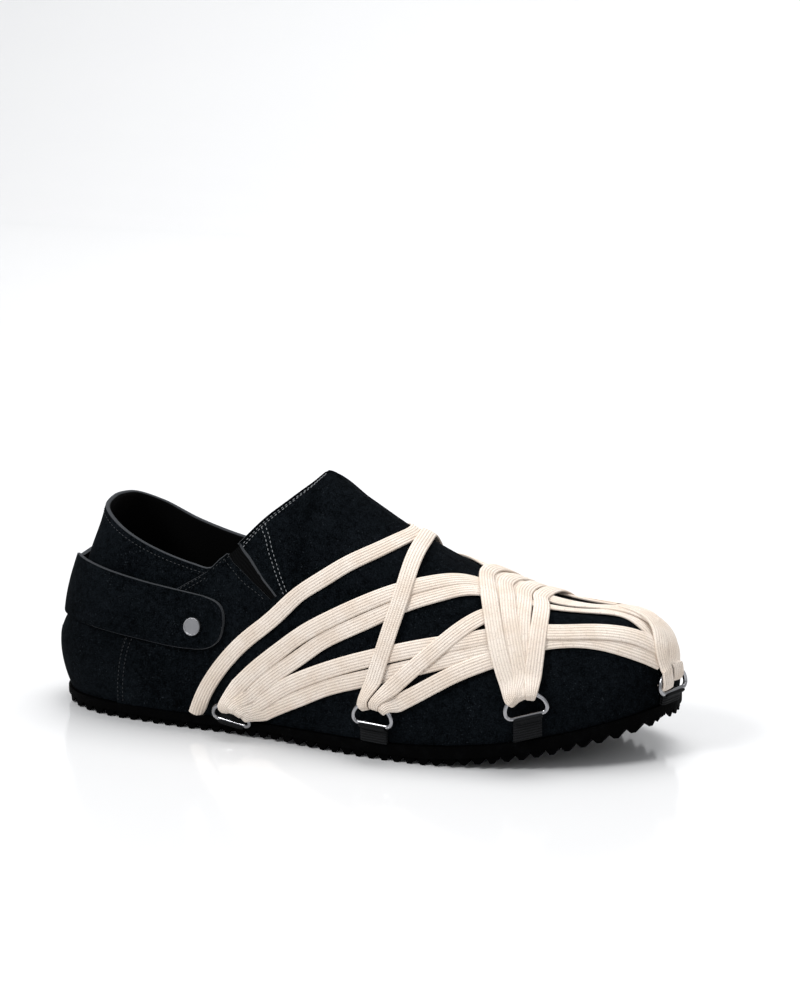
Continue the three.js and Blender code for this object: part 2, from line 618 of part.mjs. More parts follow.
// Webbing folded over the ring's bar, its two layers flat on the wall down to the sole
function makeWebbing(place) {
  const { out, up, across, bar } = ringAxes(place);
  const flat = (point) => {
    const away = point.clone().sub(bar);
    return new THREE.Vector2(away.dot(up), away.dot(out));
  };
  const eye = WIRE / 2 + GAP;
  const loop = eye + WEBBING_THICKNESS;
  const stalk = 2 * WEBBING_THICKNESS;
  const slope = (soleTop(bar.x + WIRE) - soleTop(bar.x - WIRE)) / (2 * WIRE);
  const tilt = WEBBING_WIDTH / 2 * Math.abs(slope * across.x);
  const foot = riseAt(place.along, upperPoint(place.along, 0).z + tilt + GAP / 2);
  const rises = spread(foot, place.rise, 3);
  const wallSide = rises.map((rise) => flat(onUpper(place.along, rise, GAP)));
  const openSide = rises.slice(0, -1).map((rise) => flat(onUpper(place.along, rise, GAP + stalk))).reverse();
  const bend = spread(-Math.PI / 2, 0.8 * Math.PI, EYE_SIDES).slice(1)
    .map((angle) => new THREE.Vector2(loop * Math.cos(angle), loop * Math.sin(angle)));
  const hole = spread(0, 2 * Math.PI, EYE_SIDES).slice(0, -1).reverse()
    .map((angle) => new THREE.Vector2(eye * Math.cos(angle), eye * Math.sin(angle)));
  const reach = openSide.filter((point) => point.x < -loop);
  const origin = bar.clone().addScaledVector(across, -WEBBING_WIDTH / 2);
  return prism([...wallSide, ...bend, ...reach], WEBBING_WIDTH, origin, up, out, across, hole);
}

// Lace

const LACE_STEP = 7;            // length of one facet of a band
const WIDE_LACE_STEP = 9;       // the same on a band of several strands

// A flat band on the upper that follows a route of along, rise, layer and width
function makeBand(route) {
  const curve = (rows) => new THREE.CatmullRomCurve3(rows, false, 'centripetal');
  const guide = curve(route.map(([along, rise, layer]) => new THREE.Vector3(along, rise, layer)));
  const widths = route.map((row) => row[3] * LACE_WIDTH);
  const columns = Math.max(...widths) > LACE_WIDTH ? [-1, 0, 1] : [-1, 1];
  const place = (share) => guide.getPoint(share);
  const widthAt = (share) => {
    const whole = Math.min(Math.floor(share * (widths.length - 1)), widths.length - 2);
    return THREE.MathUtils.lerp(widths[whole], widths[whole + 1], share * (widths.length - 1) - whole);
  };
  const rough = spread(0, 1, 40).map(place).map((p) => upperPoint(p.x, p.y));
  const length = rough.slice(1).reduce((sum, p, i) => sum + p.distanceTo(rough[i]), 0);
  const step = columns.length > 2 ? WIDE_LACE_STEP : LACE_STEP;
  const steps = Math.max(2, Math.round(length / step));
  const sections = spread(0, 1, steps).map((share) => {
    const here = place(share);
    const next = place(Math.min(share + 0.01, 1));
    const last = place(Math.max(share - 0.01, 0));
    const run = upperPoint(next.x, next.y).sub(upperPoint(last.x, last.y)).normalize();
    const side = upperNormal(here.x, here.y).cross(run).normalize();
    const lift = LACE_CLEARANCE + here.z * LACE_THICKNESS;
    const row = columns.map((sign) => slide(here, side, sign * widthAt(share) / 2));
    const under = row.map(({ x, y }) => onUpper(x, y, lift));
    const over = row.map(({ x, y }) => onUpper(x, y, lift + LACE_THICKNESS));
    return [...under, ...over.reverse()];
  });
  return loft(sections);
}

// The shares reached from a place by a short way over the face
function slide(here, side, distance) {
  const step = 0.01;
  const start = upperPoint(here.x, here.y);
  const round = upperPoint(here.x + step, here.y).sub(upperPoint(here.x - step, here.y)).divideScalar(2 * step);
  const up = upperPoint(here.x, here.y + step).sub(upperPoint(here.x, here.y - step)).divideScalar(2 * step);
  const goal = side.clone().multiplyScalar(distance);
  const [aa, ab, bb] = [round.dot(round), round.dot(up), up.dot(up)];
  const [ga, gb] = [goal.dot(round), goal.dot(up)];
  const scale = aa * bb - ab * ab;
  const move = new THREE.Vector2((ga * bb - gb * ab) / scale, (gb * aa - ga * ab) / scale);
  for (let i = 0; i < 3 && distance !== 0; i += 1) {
    const reached = upperPoint(here.x + move.x, here.y + move.y).distanceTo(start);
    move.multiplyScalar(Math.abs(distance) / reached);
  }
  return new THREE.Vector2(here.x + move.x, here.y + move.y);
}

const outer = (route) => route.map(([along, ...rest]) => [-along, ...rest]);

// Both halves of a band that crosses the ridge, as one route
function overRidge(route) {
  const down = route.slice(0, -1).reverse().map(([along, rise, ...rest]) => [-along, 2 - rise, ...rest]);
  return [...outer(route), ...down];
}

function makeLace() {
  const bands = [
    ...Object.values(CROSSINGS).map((route) => makeBand(overRidge(route))),
    ...Object.values(SIDE_RUNS).flatMap((route) => [makeBand(outer(route)), makeBand(route)]),
    makeBand(outer(TOE_WRAP)),
  ];
  const joined = bands.reduce((lace, band) => lace.add(band));
  return joined.decompose().filter((piece) => piece.volume() > 0);
}

// Assembly

function finish(color, roughness, metalness = 0) {
  return new THREE.MeshStandardMaterial({ color, roughness, metalness });
}

const shoe = new THREE.Group();

function addPart(name, solid, material) {
  const { vertProperties, triVerts } = solid.getMesh();
  const geometry = new THREE.BufferGeometry();
  geometry.setAttribute('position', new THREE.BufferAttribute(new Float32Array(vertProperties), 3));
  geometry.setIndex(Array.from(triVerts));
  geometry.computeVertexNormals();
  const mesh = new THREE.Mesh(geometry, material);
  mesh.name = name;
  shoe.add(mesh);
}

addPart('outsole', makeSole(), finish(0x1a1a1c, 0.75));
addPart('insole', makeInsole(), finish(0x2a2a2c, 0.85));
addPart('upper', makeUpper(), finish(0x14161a, 0.95));
for (const [name, side] of [['lateral', -1], ['medial', 1]]) {
  addPart(`gusset_${name}`, makeGusset(side), finish(0x0e0e10, 0.9));
  addPart(`snap_${name}`, makeSnap(side), finish(0xc4c6c8, 0.3, 1));
}
addPart('heel_strap', makeStrap(), finish(0x16181c, 0.95));
for (const place of RINGS) {
  addPart(`ring_${place.name}`, makeRing(place), finish(0x9a9c9e, 0.28, 1));
  addPart(`webbing_${place.name}`, makeWebbing(place), finish(0x18181a, 0.9));
}
makeLace().forEach((piece, i) => addPart(`lace_${i + 1}`, piece, finish(0xe6dccb, 0.9)));

// The floor is Z = 0, and the middle of the shoe's box is over the origin
const box = new THREE.Box3().setFromObject(shoe);
const middle = box.getCenter(new THREE.Vector3());
shoe.position.set(-middle.x, -middle.y, -box.min.z);

export default shoe;
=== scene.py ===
"""A black suede slip-on shoe with a heel strap and a flat cream lace, dressed around its frame.

Shapes are worked out in the shoe's own millimetres: x from the heel to the toe, y to the inner side
of the foot, z up from the floor. place() moves them into the frame, in metres.

A place on the upper is given by two shares. "along" runs round the sole's edge from the heel, 0, to
the toe's tip, 1 on the inner side and -1 on the outer side. "rise" runs up the wall from the sole, 0,
to the collar or the ridge, 1, and past 1 it comes down the other side.
"""

import math

import bmesh
import bpy
import numpy as np
from mathutils import Matrix, Vector


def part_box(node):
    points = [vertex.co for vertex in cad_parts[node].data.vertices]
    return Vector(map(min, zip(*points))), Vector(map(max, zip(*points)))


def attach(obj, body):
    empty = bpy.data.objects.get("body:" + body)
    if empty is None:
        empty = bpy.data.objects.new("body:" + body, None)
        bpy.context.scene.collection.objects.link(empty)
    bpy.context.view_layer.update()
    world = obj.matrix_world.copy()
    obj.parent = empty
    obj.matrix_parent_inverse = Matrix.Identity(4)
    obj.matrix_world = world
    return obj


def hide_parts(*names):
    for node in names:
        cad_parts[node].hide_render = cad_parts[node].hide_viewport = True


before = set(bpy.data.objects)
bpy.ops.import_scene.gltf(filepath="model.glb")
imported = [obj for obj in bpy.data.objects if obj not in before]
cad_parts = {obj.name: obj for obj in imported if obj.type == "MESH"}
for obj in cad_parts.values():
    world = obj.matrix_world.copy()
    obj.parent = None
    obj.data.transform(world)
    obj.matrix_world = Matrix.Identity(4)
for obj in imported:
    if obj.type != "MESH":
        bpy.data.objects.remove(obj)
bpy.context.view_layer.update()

MM = 0.001

# Sizes of the shoe, in millimetres
LENGTH = 284
BALL_WIDTH = 100
COLLAR_HEIGHT = 96
VAMP_HEIGHT = 113.5
WALL = 2
GAP = 0.3
SOLE_THICKNESS = 7
TOOTH_DEPTH = 3.2
TOOTH_PITCH = 6
TOOTH_FLAT = 1.8
TOOTH_INSET = 0.8
END_NOTCH_LENGTH = 7
LEDGE = 1.5
INSOLE_THICKNESS = 4
GUSSET_THICKNESS = 1.2
STRAP_THICKNESS = 2.2
STRAP_CLEARANCE = 0.5
SNAP_WIDTH = 8.3
SNAP_HEIGHT = 1.6
RING_WIDTH = 20
RING_HEIGHT = 11.8
RING_CORNER = 2.5
WIRE = 2
WEBBING_WIDTH = 12.5
WEBBING_THICKNESS = 1.1
LACE_WIDTH = 7.4
LACE_THICKNESS = 1.5

HALF_BALL = BALL_WIDTH / 2

# Sole outline from the heel round the outer side to the toe's tip and back: length, half width
OUTLINE = [
    (0.000, 0.00), (0.018, -0.34), (0.080, -0.60), (0.190, -0.715), (0.330, -0.77), (0.465, -0.885),
    (0.590, -0.98), (0.705, -0.97), (0.815, -0.82), (0.910, -0.55), (0.975, -0.19), (1.000, 0.16),
    (0.985, 0.52), (0.920, 0.82), (0.810, 1.00), (0.690, 1.01), (0.560, 0.83), (0.430, 0.66),
    (0.300, 0.66), (0.180, 0.68), (0.075, 0.575), (0.017, 0.33),
]
TOE_TIP = 11
SPAN_STEPS = 24

# Side view of the sole: x as a share of LENGTH, bottom and top as shares of SOLE_THICKNESS
SOLE_PROFILE = [
    (0.00, 0.14, 1.00),
    (0.05, 0.03, 0.98),
    (0.10, 0.00, 0.98),
    (0.26, 0.00, 1.00),
    (0.40, 0.14, 1.07),
    (0.53, 0.00, 1.10),
    (0.64, 0.00, 1.20),
    (0.74, 0.31, 1.51),
    (0.82, 0.80, 1.97),
    (0.90, 1.50, 2.63),
    (0.96, 2.07, 3.17),
    (1.00, 2.50, 3.57),
]

# Ribs of the last: along, x, half, top, ridge, low, flare, reach, fall
RIBS = [
    (0.000, 0.070, 0.00, 1.000 * COLLAR_HEIGHT, 0.00, 0.34, 0.32, 0.18, 0.31),
    (0.060, 0.081, 0.32, 0.974 * COLLAR_HEIGHT, 0.00, 0.36, 0.24, 0.14, 0.29),
    (0.120, 0.116, 0.50, 0.917 * COLLAR_HEIGHT, 0.00, 0.40, 0.15, 0.10, 0.27),
    (0.200, 0.180, 0.56, 0.828 * COLLAR_HEIGHT, 0.00, 0.45, 0.10, 0.08, 0.23),
    (0.270, 0.254, 0.57, 0.765 * COLLAR_HEIGHT, 0.00, 0.48, 0.08, 0.07, 0.20),
    (0.292, 0.277, 0.57, 0.752 * COLLAR_HEIGHT, 0.00, 0.48, 0.08, 0.07, 0.19),
    (0.312, 0.299, 0.57, 0.680 * VAMP_HEIGHT, 0.00, 0.45, 0.08, 0.08, 0.19),
    (0.340, 0.330, 0.57, 0.745 * VAMP_HEIGHT, 0.00, 0.42, 0.08, 0.09, 0.18),
    (0.370, 0.367, 0.50, 0.841 * VAMP_HEIGHT, 0.00, 0.40, 0.08, 0.14, 0.13),
    (0.405, 0.408, 0.35, 0.926 * VAMP_HEIGHT, 0.00, 0.38, 0.08, 0.24, 0.08),
    (0.425, 0.431, 0.20, 0.972 * VAMP_HEIGHT, 0.00, 0.38, 0.08, 0.34, 0.03),
    (0.440, 0.442, 0.00, 1.000 * VAMP_HEIGHT, 0.00, 0.38, 0.08, 0.43, 0.00),
    (0.500, 0.500, 0.00, 0.912 * VAMP_HEIGHT, 0.00, 0.40, 0.08, 0.45, 0.00),
    (0.570, 0.563, 0.00, 0.811 * VAMP_HEIGHT, 0.00, 0.42, 0.08, 0.47, 0.00),
    (0.650, 0.634, 0.00, 0.714 * VAMP_HEIGHT, 0.00, 0.45, 0.08, 0.50, 0.00),
    (0.730, 0.704, 0.00, 0.639 * VAMP_HEIGHT, 0.02, 0.50, 0.08, 0.52, 0.00),
    (0.810, 0.771, 0.00, 0.595 * VAMP_HEIGHT, 0.06, 0.54, 0.08, 0.54, 0.00),
    (0.890, 0.831, 0.00, 0.573 * VAMP_HEIGHT, 0.10, 0.58, 0.08, 0.54, 0.00),
    (0.950, 0.870, 0.00, 0.555 * VAMP_HEIGHT, 0.12, 0.60, 0.08, 0.52, 0.00),
    (1.000, 0.891, 0.00, 0.542 * VAMP_HEIGHT, 0.14, 0.62, 0.08, 0.48, 0.00),
]
NOTCH = 0.292
PEAK = 0.44

# Heel strap: along, low and high edge as shares of COLLAR_HEIGHT, how far each stands off
STRAP = [
    (0.00, 0.44, 0.665, -0.3, 2.6),
    (0.06, 0.44, 0.722, -0.4, 2.2),
    (0.13, 0.43, 0.705, 0.3, 1.0),
    (0.20, 0.41, 0.672, 0.9, 0.2),
    (0.27, 0.39, 0.640, 0.9, 0.0),
    (0.30, 0.39, 0.627, 0.6, 0.0),
]
STRAP_END = 0.330
STRAP_ROUND = 0.045
SNAP_ALONG = 0.283
SNAP_Z = 0.49

# D-rings: along and rise of each bar, how far it hangs below that place, its turn on the wall
# towards the toe's end up, and its tilt off the wall, in degrees
RINGS = {
    "rear_lateral": (-0.345, 0.035, 4.2, -8, 20),
    "mid_lateral": (-0.563, 0.075, 0, -4, 7),
    "front_lateral": (-0.770, 0.13, 0, 12, 7),
    "toe": (-0.976, 0.10, 1.0, 0, -10),
    "front_medial": (0.770, 0.13, 0, 12, 7),
    "mid_medial": (0.563, 0.075, 0, -4, 7),
    "rear_medial": (0.345, 0.035, 4.2, -8, 20),
}


def smooth_step(low, high, value):
    """0 below low, 1 above high and smooth between."""
    t = np.clip((value - low) / (high - low), 0, 1)
    return t * t * (3 - 2 * t)


def unit(vectors):
    """Vectors of length 1."""
    return vectors / np.maximum(np.linalg.norm(vectors, axis=-1, keepdims=True), 1e-9)


def table(rows):
    """Reader of a table keyed by its first column: smooth, and level at each high or low."""
    data = np.array(rows, float)
    keys = data[:, 0]
    values = data[:, 1:]
    step = np.diff(keys)[:, None]
    slope = np.diff(values, axis=0) / step
    tangent = np.zeros_like(values)
    tangent[0] = slope[0]
    tangent[-1] = slope[-1]
    weighted = (slope[:-1] * step[1:] + slope[1:] * step[:-1]) / (step[:-1] + step[1:])
    tangent[1:-1] = np.where(slope[:-1] * slope[1:] > 0, weighted, 0)

    def read(key):
        key = np.asarray(key, float)
        i = np.clip(np.searchsorted(keys, key, side="right") - 1, 0, len(keys) - 2)
        span = step[i]
        t = np.clip((key[..., None] - keys[i][..., None]) / span, 0, 1)
        return (
            (2 * t**3 - 3 * t**2 + 1) * values[i]
            + (t**3 - 2 * t**2 + t) * span * tangent[i]
            + (3 * t**2 - 2 * t**3) * values[i + 1]
            + (t**3 - t**2) * span * tangent[i + 1]
        )

    return read


def through(points, steps, closed=False):
    """Points of a smooth curve through the given ones, with steps points to a span."""
    points = np.asarray(points, float)
    if closed:
        ring = np.vstack([points[-1:], points, points[:2]])
    else:
        before = 2 * points[:1] - points[1:2]
        after = 2 * points[-1:] - points[-2:-1]
        ring = np.vstack([before, points, after])
    t = (np.arange(steps) / steps)[:, None]
    spans = []
    for p0, p1, p2, p3 in zip(ring, ring[1:], ring[2:], ring[3:]):
        d0, d1, d2 = (max(math.sqrt(np.linalg.norm(b - a)), 1e-4) for a, b in ((p0, p1), (p1, p2), (p2, p3)))
        m1 = ((p1 - p0) / d0 - (p2 - p0) / (d0 + d1) + (p2 - p1) / d1) * d1
        m2 = ((p2 - p1) / d1 - (p3 - p1) / (d1 + d2) + (p3 - p2) / d2) * d1
        spans.append((2 * t**3 - 3 * t**2 + 1) * p1 + (t**3 - 2 * t**2 + t) * m1
                     + (3 * t**2 - 2 * t**3) * p2 + (t**3 - t**2) * m2)
    last = points[:1] if closed else points[-1:]
    return np.vstack(spans + [last])


def arc_length(points):
    """Distance from the first point, along the line."""
    return np.concatenate([[0], np.cumsum(np.linalg.norm(np.diff(points, axis=0), axis=1))])


def evenly(points, step):
    """The same line with its points about a step apart."""
    length = arc_length(points)
    count = max(2, round(length[-1] / step))
    goal = np.linspace(0, length[-1], count + 1)
    return np.stack([np.interp(goal, length, column) for column in points.T], axis=1)


# The sole's edge

sole_profile = table(SOLE_PROFILE)
ribs = table(RIBS)
strap_rows = table(STRAP)


def sole_edge():
    """Keys from -1 to 1 and plan points of the sole's edge."""
    rows = np.array(OUTLINE) * [LENGTH, HALF_BALL]
    points = through(rows, SPAN_STEPS, closed=True)
    tip = TOE_TIP * SPAN_STEPS
    outer = points[: tip + 1]
    inner = points[tip:][::-1]
    outer_length = arc_length(outer)
    inner_length = arc_length(inner)
    keys = np.concatenate([-(outer_length / outer_length[-1])[::-1], (inner_length / inner_length[-1])[1:]])
    return keys, np.vstack([outer[::-1], inner[1:]])


EDGE_KEYS, EDGE_POINTS = sole_edge()


def wrap(along):
    """The same place, with along from -1 to 1."""
    return (np.asarray(along, float) + 1) % 2 - 1


def edge(along):
    """Plan points of the sole's edge."""
    key = wrap(along)
    return np.stack([np.interp(key, EDGE_KEYS, EDGE_POINTS[:, i]) for i in range(2)], axis=-1)


FACE_STEP = 0.004               # way over which a direction is taken, as along or rise


def edge_out(along):
    """Plan direction away from the sole at its edge."""
    run = edge(np.asarray(along) + FACE_STEP) - edge(np.asarray(along) - FACE_STEP)
    return unit(np.stack([-run[..., 1], run[..., 0]], axis=-1))


def sole_bottom(x):
    """Height of the teeth's tips."""
    return sole_profile(np.clip(np.asarray(x) / LENGTH, 0, 1))[..., 0] * SOLE_THICKNESS


def sole_top(x):
    """Height of the sole's upper edge."""
    return sole_profile(np.clip(np.asarray(x) / LENGTH, 0, 1))[..., 1] * SOLE_THICKNESS


# The upper's face

# Set of the dressed vamp below the last, near the ridge: along, millimetres
RIDGE_SET = table([
    (0.00, 0.0),
    (0.60, 0.0),
    (0.70, 1.0),
    (0.75, 2.4),
    (0.80, 4.4),
    (0.86, 5.4),
    (0.91, 4.6),
    (0.96, 1.8),
    (1.00, 0.0),
])
SET_LOW_OUTER = 0.68            # rise at which the set begins on each side
SET_LOW_INNER = 0.45
HEEL_ROUND = 0.016              # rounds the upper over the back seam, as along


def upper_point(along, rise):
    """Points of the upper's outer face: a curve with two handles runs up the wall at each along."""
    along, rise = np.broadcast_arrays(np.asarray(along, float), np.asarray(rise, float))
    over = rise > 1
    share = wrap(np.where(over, -along, along))
    t = np.where(over, 2 - rise, rise)[..., None]
    side = np.where(share < 0, -1.0, 1.0)
    _, half, _, ridge, low, flare, reach, fall = np.moveaxis(ribs(np.abs(share)), -1, 0)
    x, _, top = np.moveaxis(ribs(np.hypot(share, HEEL_ROUND))[..., :3], -1, 0)
    out = edge_out(share)
    foot_plan = edge(share) - out * LEDGE
    foot = np.concatenate([foot_plan, (sole_top(foot_plan[..., 0]) + GAP)[..., None]], axis=-1)
    end = np.stack([x * LENGTH, (ridge + side * half) * HALF_BALL, top], axis=-1)
    outward = unit((foot - end)[..., :2])
    low_handle = foot.copy()
    low_handle[..., :2] += out * (flare * HALF_BALL)[..., None]
    low_handle[..., 2] += low * (end - foot)[..., 2]
    high_handle = end.copy()
    high_handle[..., :2] += outward * (reach * HALF_BALL)[..., None]
    high_handle[..., 2] -= fall * COLLAR_HEIGHT
    spot = ((1 - t) ** 3 * foot + 3 * (1 - t) ** 2 * t * low_handle
            + 3 * (1 - t) * t**2 * high_handle + t**3 * end)
    set_low = np.where(side < 0, SET_LOW_OUTER, SET_LOW_INNER)
    spot[..., 2] -= RIDGE_SET(np.abs(share))[..., 0] * smooth_step(set_low, 1.0, t[..., 0])
    return spot


RIDGE_END = 0.98                # beyond it the whole tip of the toe takes one direction


def plain_normal(along, rise):
    """Direction out of the face, from short steps up it and round it."""
    is_open = np.abs(wrap(along)) < PEAK
    high = np.where(is_open & (rise <= 1), np.minimum(rise + FACE_STEP, 1), rise + FACE_STEP)
    low = np.where(is_open & (rise > 1), np.maximum(rise - FACE_STEP, 1), np.maximum(rise - FACE_STEP, 0))
    up = upper_point(along, high) - upper_point(along, low)
    round_edge = upper_point(along + FACE_STEP, rise) - upper_point(along - FACE_STEP, rise)
    return unit(np.cross(up, round_edge))


def upper_normal(along, rise):
    """The same, steady over the tip of the toe."""
    along, rise = np.broadcast_arrays(np.asarray(along, float), np.asarray(rise, float))
    normal = plain_normal(along, rise)
    at_tip = (np.abs(along) > RIDGE_END) & (np.abs(rise - 1) < 1 - RIDGE_END)
    tip = unit(plain_normal(np.array(RIDGE_END), np.array(1.0))
               + plain_normal(np.array(1.0), np.array(RIDGE_END)))
    return np.where(at_tip[..., None], tip, normal)


def on_upper(along, rise, lift):
    """Points lift millimetres off the upper's face."""
    return upper_point(along, rise) + upper_normal(along, rise) * np.asarray(lift, float)[..., None]


def rise_at(along, z):
    """Share of the rise at which the wall reaches a height."""
    along, z = np.broadcast_arrays(np.asarray(along, float), np.asarray(z, float))
    low = np.zeros(along.shape)
    high = np.ones(along.shape)
    for _ in range(24):
        middle = (low + high) / 2
        below = upper_point(along, middle)[..., 2] < z
        low = np.where(below, middle, low)
        high = np.where(below, high, middle)
    return (low + high) / 2


# Meshes

sole_low, sole_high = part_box("outsole")
SHIFT = np.array([
    sole_low.x / MM - EDGE_POINTS[:, 0].min(),
    (sole_low.y + sole_high.y) / 2 / MM - (EDGE_POINTS[:, 1].min() + EDGE_POINTS[:, 1].max()) / 2,
    0.0,
])


def place(points):
    """Points of the frame, in metres, from the shoe's millimetres."""
    return (np.asarray(points, float).reshape(-1, 3) + SHIFT) * MM


def grid_faces(rows, columns, wrap_rows=False, wrap_columns=False, start=0):
    """Quads of a grid of points, numbered row by row."""
    row = np.arange(rows if wrap_rows else rows - 1)
    column = np.arange(columns if wrap_columns else columns - 1)
    r, c = np.meshgrid(row, column, indexing="ij")
    r2 = (r + 1) % rows
    c2 = (c + 1) % columns
    quads = np.stack([r * columns + c, r * columns + c2, r2 * columns + c2, r2 * columns + c], axis=-1)
    return quads.reshape(-1, 4) + start


def make_object(name, points, faces, materials, face_slots=None, uv=None, sharp=40):
    """A mesh object at the origin. uv holds one pair for each point."""
    mesh = bpy.data.meshes.new(name)
    mesh.from_pydata(place(points).tolist(), [], [list(map(int, face)) for face in faces])
    for material in materials:
        mesh.materials.append(material)
    if face_slots is not None:
        mesh.polygons.foreach_set("material_index", np.asarray(face_slots, np.int32))
    if uv is not None:
        corner = np.zeros(len(mesh.loops), np.int32)
        mesh.loops.foreach_get("vertex_index", corner)
        layer = mesh.uv_layers.new(name="weave")
        layer.data.foreach_set("uv", np.asarray(uv, np.float32)[corner].ravel())
    mesh.shade_smooth()
    mesh.set_sharp_from_angle(angle=math.radians(sharp))
    result = bpy.data.objects.new(name, mesh)
    bpy.context.scene.collection.objects.link(result)
    return result


def turn_out(thing, weld=None):
    """Welds doubles closer than weld millimetres and turns the faces out."""
    work = bmesh.new()
    work.from_mesh(thing.data)
    if weld:
        bmesh.ops.remove_doubles(work, verts=work.verts, dist=weld * MM)
    bmesh.ops.recalc_face_normals(work, faces=work.faces)
    work.to_mesh(thing.data)
    work.free()
    thing.data.set_sharp_from_angle(angle=math.radians(40))
    return thing


# Shader maths

class Value:
    """A number in a shader. Operators on it add Math nodes."""

    def __init__(self, finish, socket):
        self.finish = finish
        self.socket = socket

    def math(self, operation, *others):
        node = self.finish.node("ShaderNodeMath", {"operation": operation}, dict(enumerate((self, *others))))
        return Value(self.finish, node.outputs[0])

    def __add__(self, other):
        return self.math("ADD", other)

    def __sub__(self, other):
        return self.math("SUBTRACT", other)

    def __rsub__(self, other):
        return Value(self.finish, self.finish.node(
            "ShaderNodeMath", {"operation": "SUBTRACT"}, {0: other, 1: self}).outputs[0])

    def __mul__(self, other):
        return self.math("MULTIPLY", other)

    __radd__ = __add__
    __rmul__ = __mul__

    def sine(self):
        return self.math("SINE")

    def size(self):
        return self.math("ABSOLUTE")

    def between(self, low, high):
        """0 below low, 1 above high and smooth between."""
        node = self.finish.node("ShaderNodeMapRange", {"interpolation_type": "SMOOTHSTEP"},
                                {"Value": self, "From Min": low, "From Max": high})
        return Value(self.finish, node.outputs[0])


class Finish:
    """The nodes of one material. Lengths in its patterns are in millimetres."""

    def __init__(self, name):
        self.material = bpy.data.materials.new(name)
        self.material.use_nodes = True
        self.tree = self.material.node_tree
        self.tree.nodes.clear()
        self.shader = self.node("ShaderNodeBsdfPrincipled")
        self.node("ShaderNodeOutputMaterial", {}, {"Surface": self.shader.outputs[0]})
        self.where = self.node("ShaderNodeTexCoord").outputs["Object"]

    def node(self, kind, settings=None, values=None):
        made = self.tree.nodes.new(kind)
        for key, value in (settings or {}).items():
            setattr(made, key, value)
        for key, value in (values or {}).items():
            target = made.inputs[key]
            if isinstance(value, Value):
                self.tree.links.new(value.socket, target)
            elif isinstance(value, bpy.types.NodeSocket):
                self.tree.links.new(value, target)
            else:
                target.default_value = value
        return made

    def scaled(self, stretch=(1, 1, 1)):
        """Object coordinates in millimetres, stretched."""
        scale = tuple(1000 * s for s in stretch)
        return self.node("ShaderNodeMapping", {}, {"Vector": self.where, "Scale": scale}).outputs[0]

    def noise(self, size, detail=3.0, stretch=(1, 1, 1), vector=None):
        """Noise whose features are about size millimetres wide, from 0 to 1."""
        made = self.node("ShaderNodeTexNoise", {}, {
            "Vector": vector or self.scaled(stretch), "Scale": 1 / size, "Detail": detail, "Roughness": 0.6})
        return Value(self, made.outputs["Factor" if "Factor" in made.outputs else 0])

    def cells(self, size, stretch=(1, 1, 1), vector=None):
        """Distance from the middles of scattered cells."""
        made = self.node("ShaderNodeTexVoronoi", {}, {
            "Vector": vector or self.scaled(stretch), "Scale": 1 / size})
        return Value(self, made.outputs["Distance"])

    def across(self):
        """The two coordinates of the piece's own map, in millimetres."""
        coordinates = self.node("ShaderNodeUVMap", {"uv_map": "weave"}).outputs[0]
        split = self.node("ShaderNodeSeparateXYZ", {}, {0: coordinates})
        return Value(self, split.outputs[0]), Value(self, split.outputs[1])

    def woven(self, u, v):
        """A vector from two values."""
        return self.node("ShaderNodeCombineXYZ", {}, {0: u, 1: v}).outputs[0]

    def mix(self, factor, first, second):
        """Colour between two colours."""
        made = self.node("ShaderNodeMix", {"data_type": "RGBA"}, {0: factor, 6: first, 7: second})
        return made.outputs[2]

    def colour(self, value):
        if isinstance(value, bpy.types.NodeSocket):
            self.tree.links.new(value, self.shader.inputs["Base Color"])
        else:
            self.shader.inputs["Base Color"].default_value = value
        return self

    def rough(self, value):
        if isinstance(value, Value):
            self.tree.links.new(value.socket, self.shader.inputs["Roughness"])
        else:
            self.shader.inputs["Roughness"].default_value = value
        return self

    def bump(self, height, depth, strength=1.0):
        """Relief whose height, from 0 to 1, stands for depth millimetres."""
        made = self.node("ShaderNodeBump", {}, {
            "Height": height, "Distance": depth * MM, "Strength": strength})
        self.tree.links.new(made.outputs[0], self.shader.inputs["Normal"])
        return self

    def fixed(self, **levels):
        """Settings that are the same all over."""
        for name, level in levels.items():
            self.shader.inputs[name.replace("_", " ")].default_value = level
        return self.material


def rgb(red, green, blue):
    return (red, green, blue, 1.0)


def suede_finish(name, dark, pale, fleck):
    """Short nap: clouds where it was brushed, a fine mottle, and pale flecks of fluff."""
    f = Finish(name)
    clouds = f.noise(26, 2.0)
    mottle = f.noise(2.4, 4.0)
    nap = f.noise(0.45, 2.0)
    tone = (clouds * 0.25 + mottle * 0.40 + nap * 0.9).between(0.58, 1.06)
    flecks = f.noise(0.75, 1.0).between(0.66, 0.74) * f.noise(9, 1.0).between(0.40, 0.60)
    f.colour(f.mix(flecks * 0.5, f.mix(tone, dark, pale), fleck))
    f.rough(0.86 + nap * 0.12)
    f.bump(nap * 0.5 + mottle * 0.5, 0.16)
    return f.fixed(Specular_IOR_Level=0.012, Sheen_Weight=0.004, Sheen_Roughness=0.4)


def cut_edge_finish():
    """Raw edge of the suede, greyer than its face."""
    f = Finish("suede_edge")
    f.colour(f.mix(f.noise(0.8), rgb(0.022, 0.024, 0.027), rgb(0.060, 0.063, 0.068)))
    f.rough(0.9)
    f.bump(f.noise(0.4), 0.1)
    return f.fixed(Specular_IOR_Level=0.1)


def lining_finish():
    f = Finish("lining")
    grain = f.cells(0.9)
    f.colour(f.mix(f.noise(8), rgb(0.0002, 0.0002, 0.0002), rgb(0.0007, 0.0007, 0.0008)))
    f.rough(0.7 + f.noise(3) * 0.2)
    f.bump(grain, 0.08)
    return f.fixed(Specular_IOR_Level=0.08)


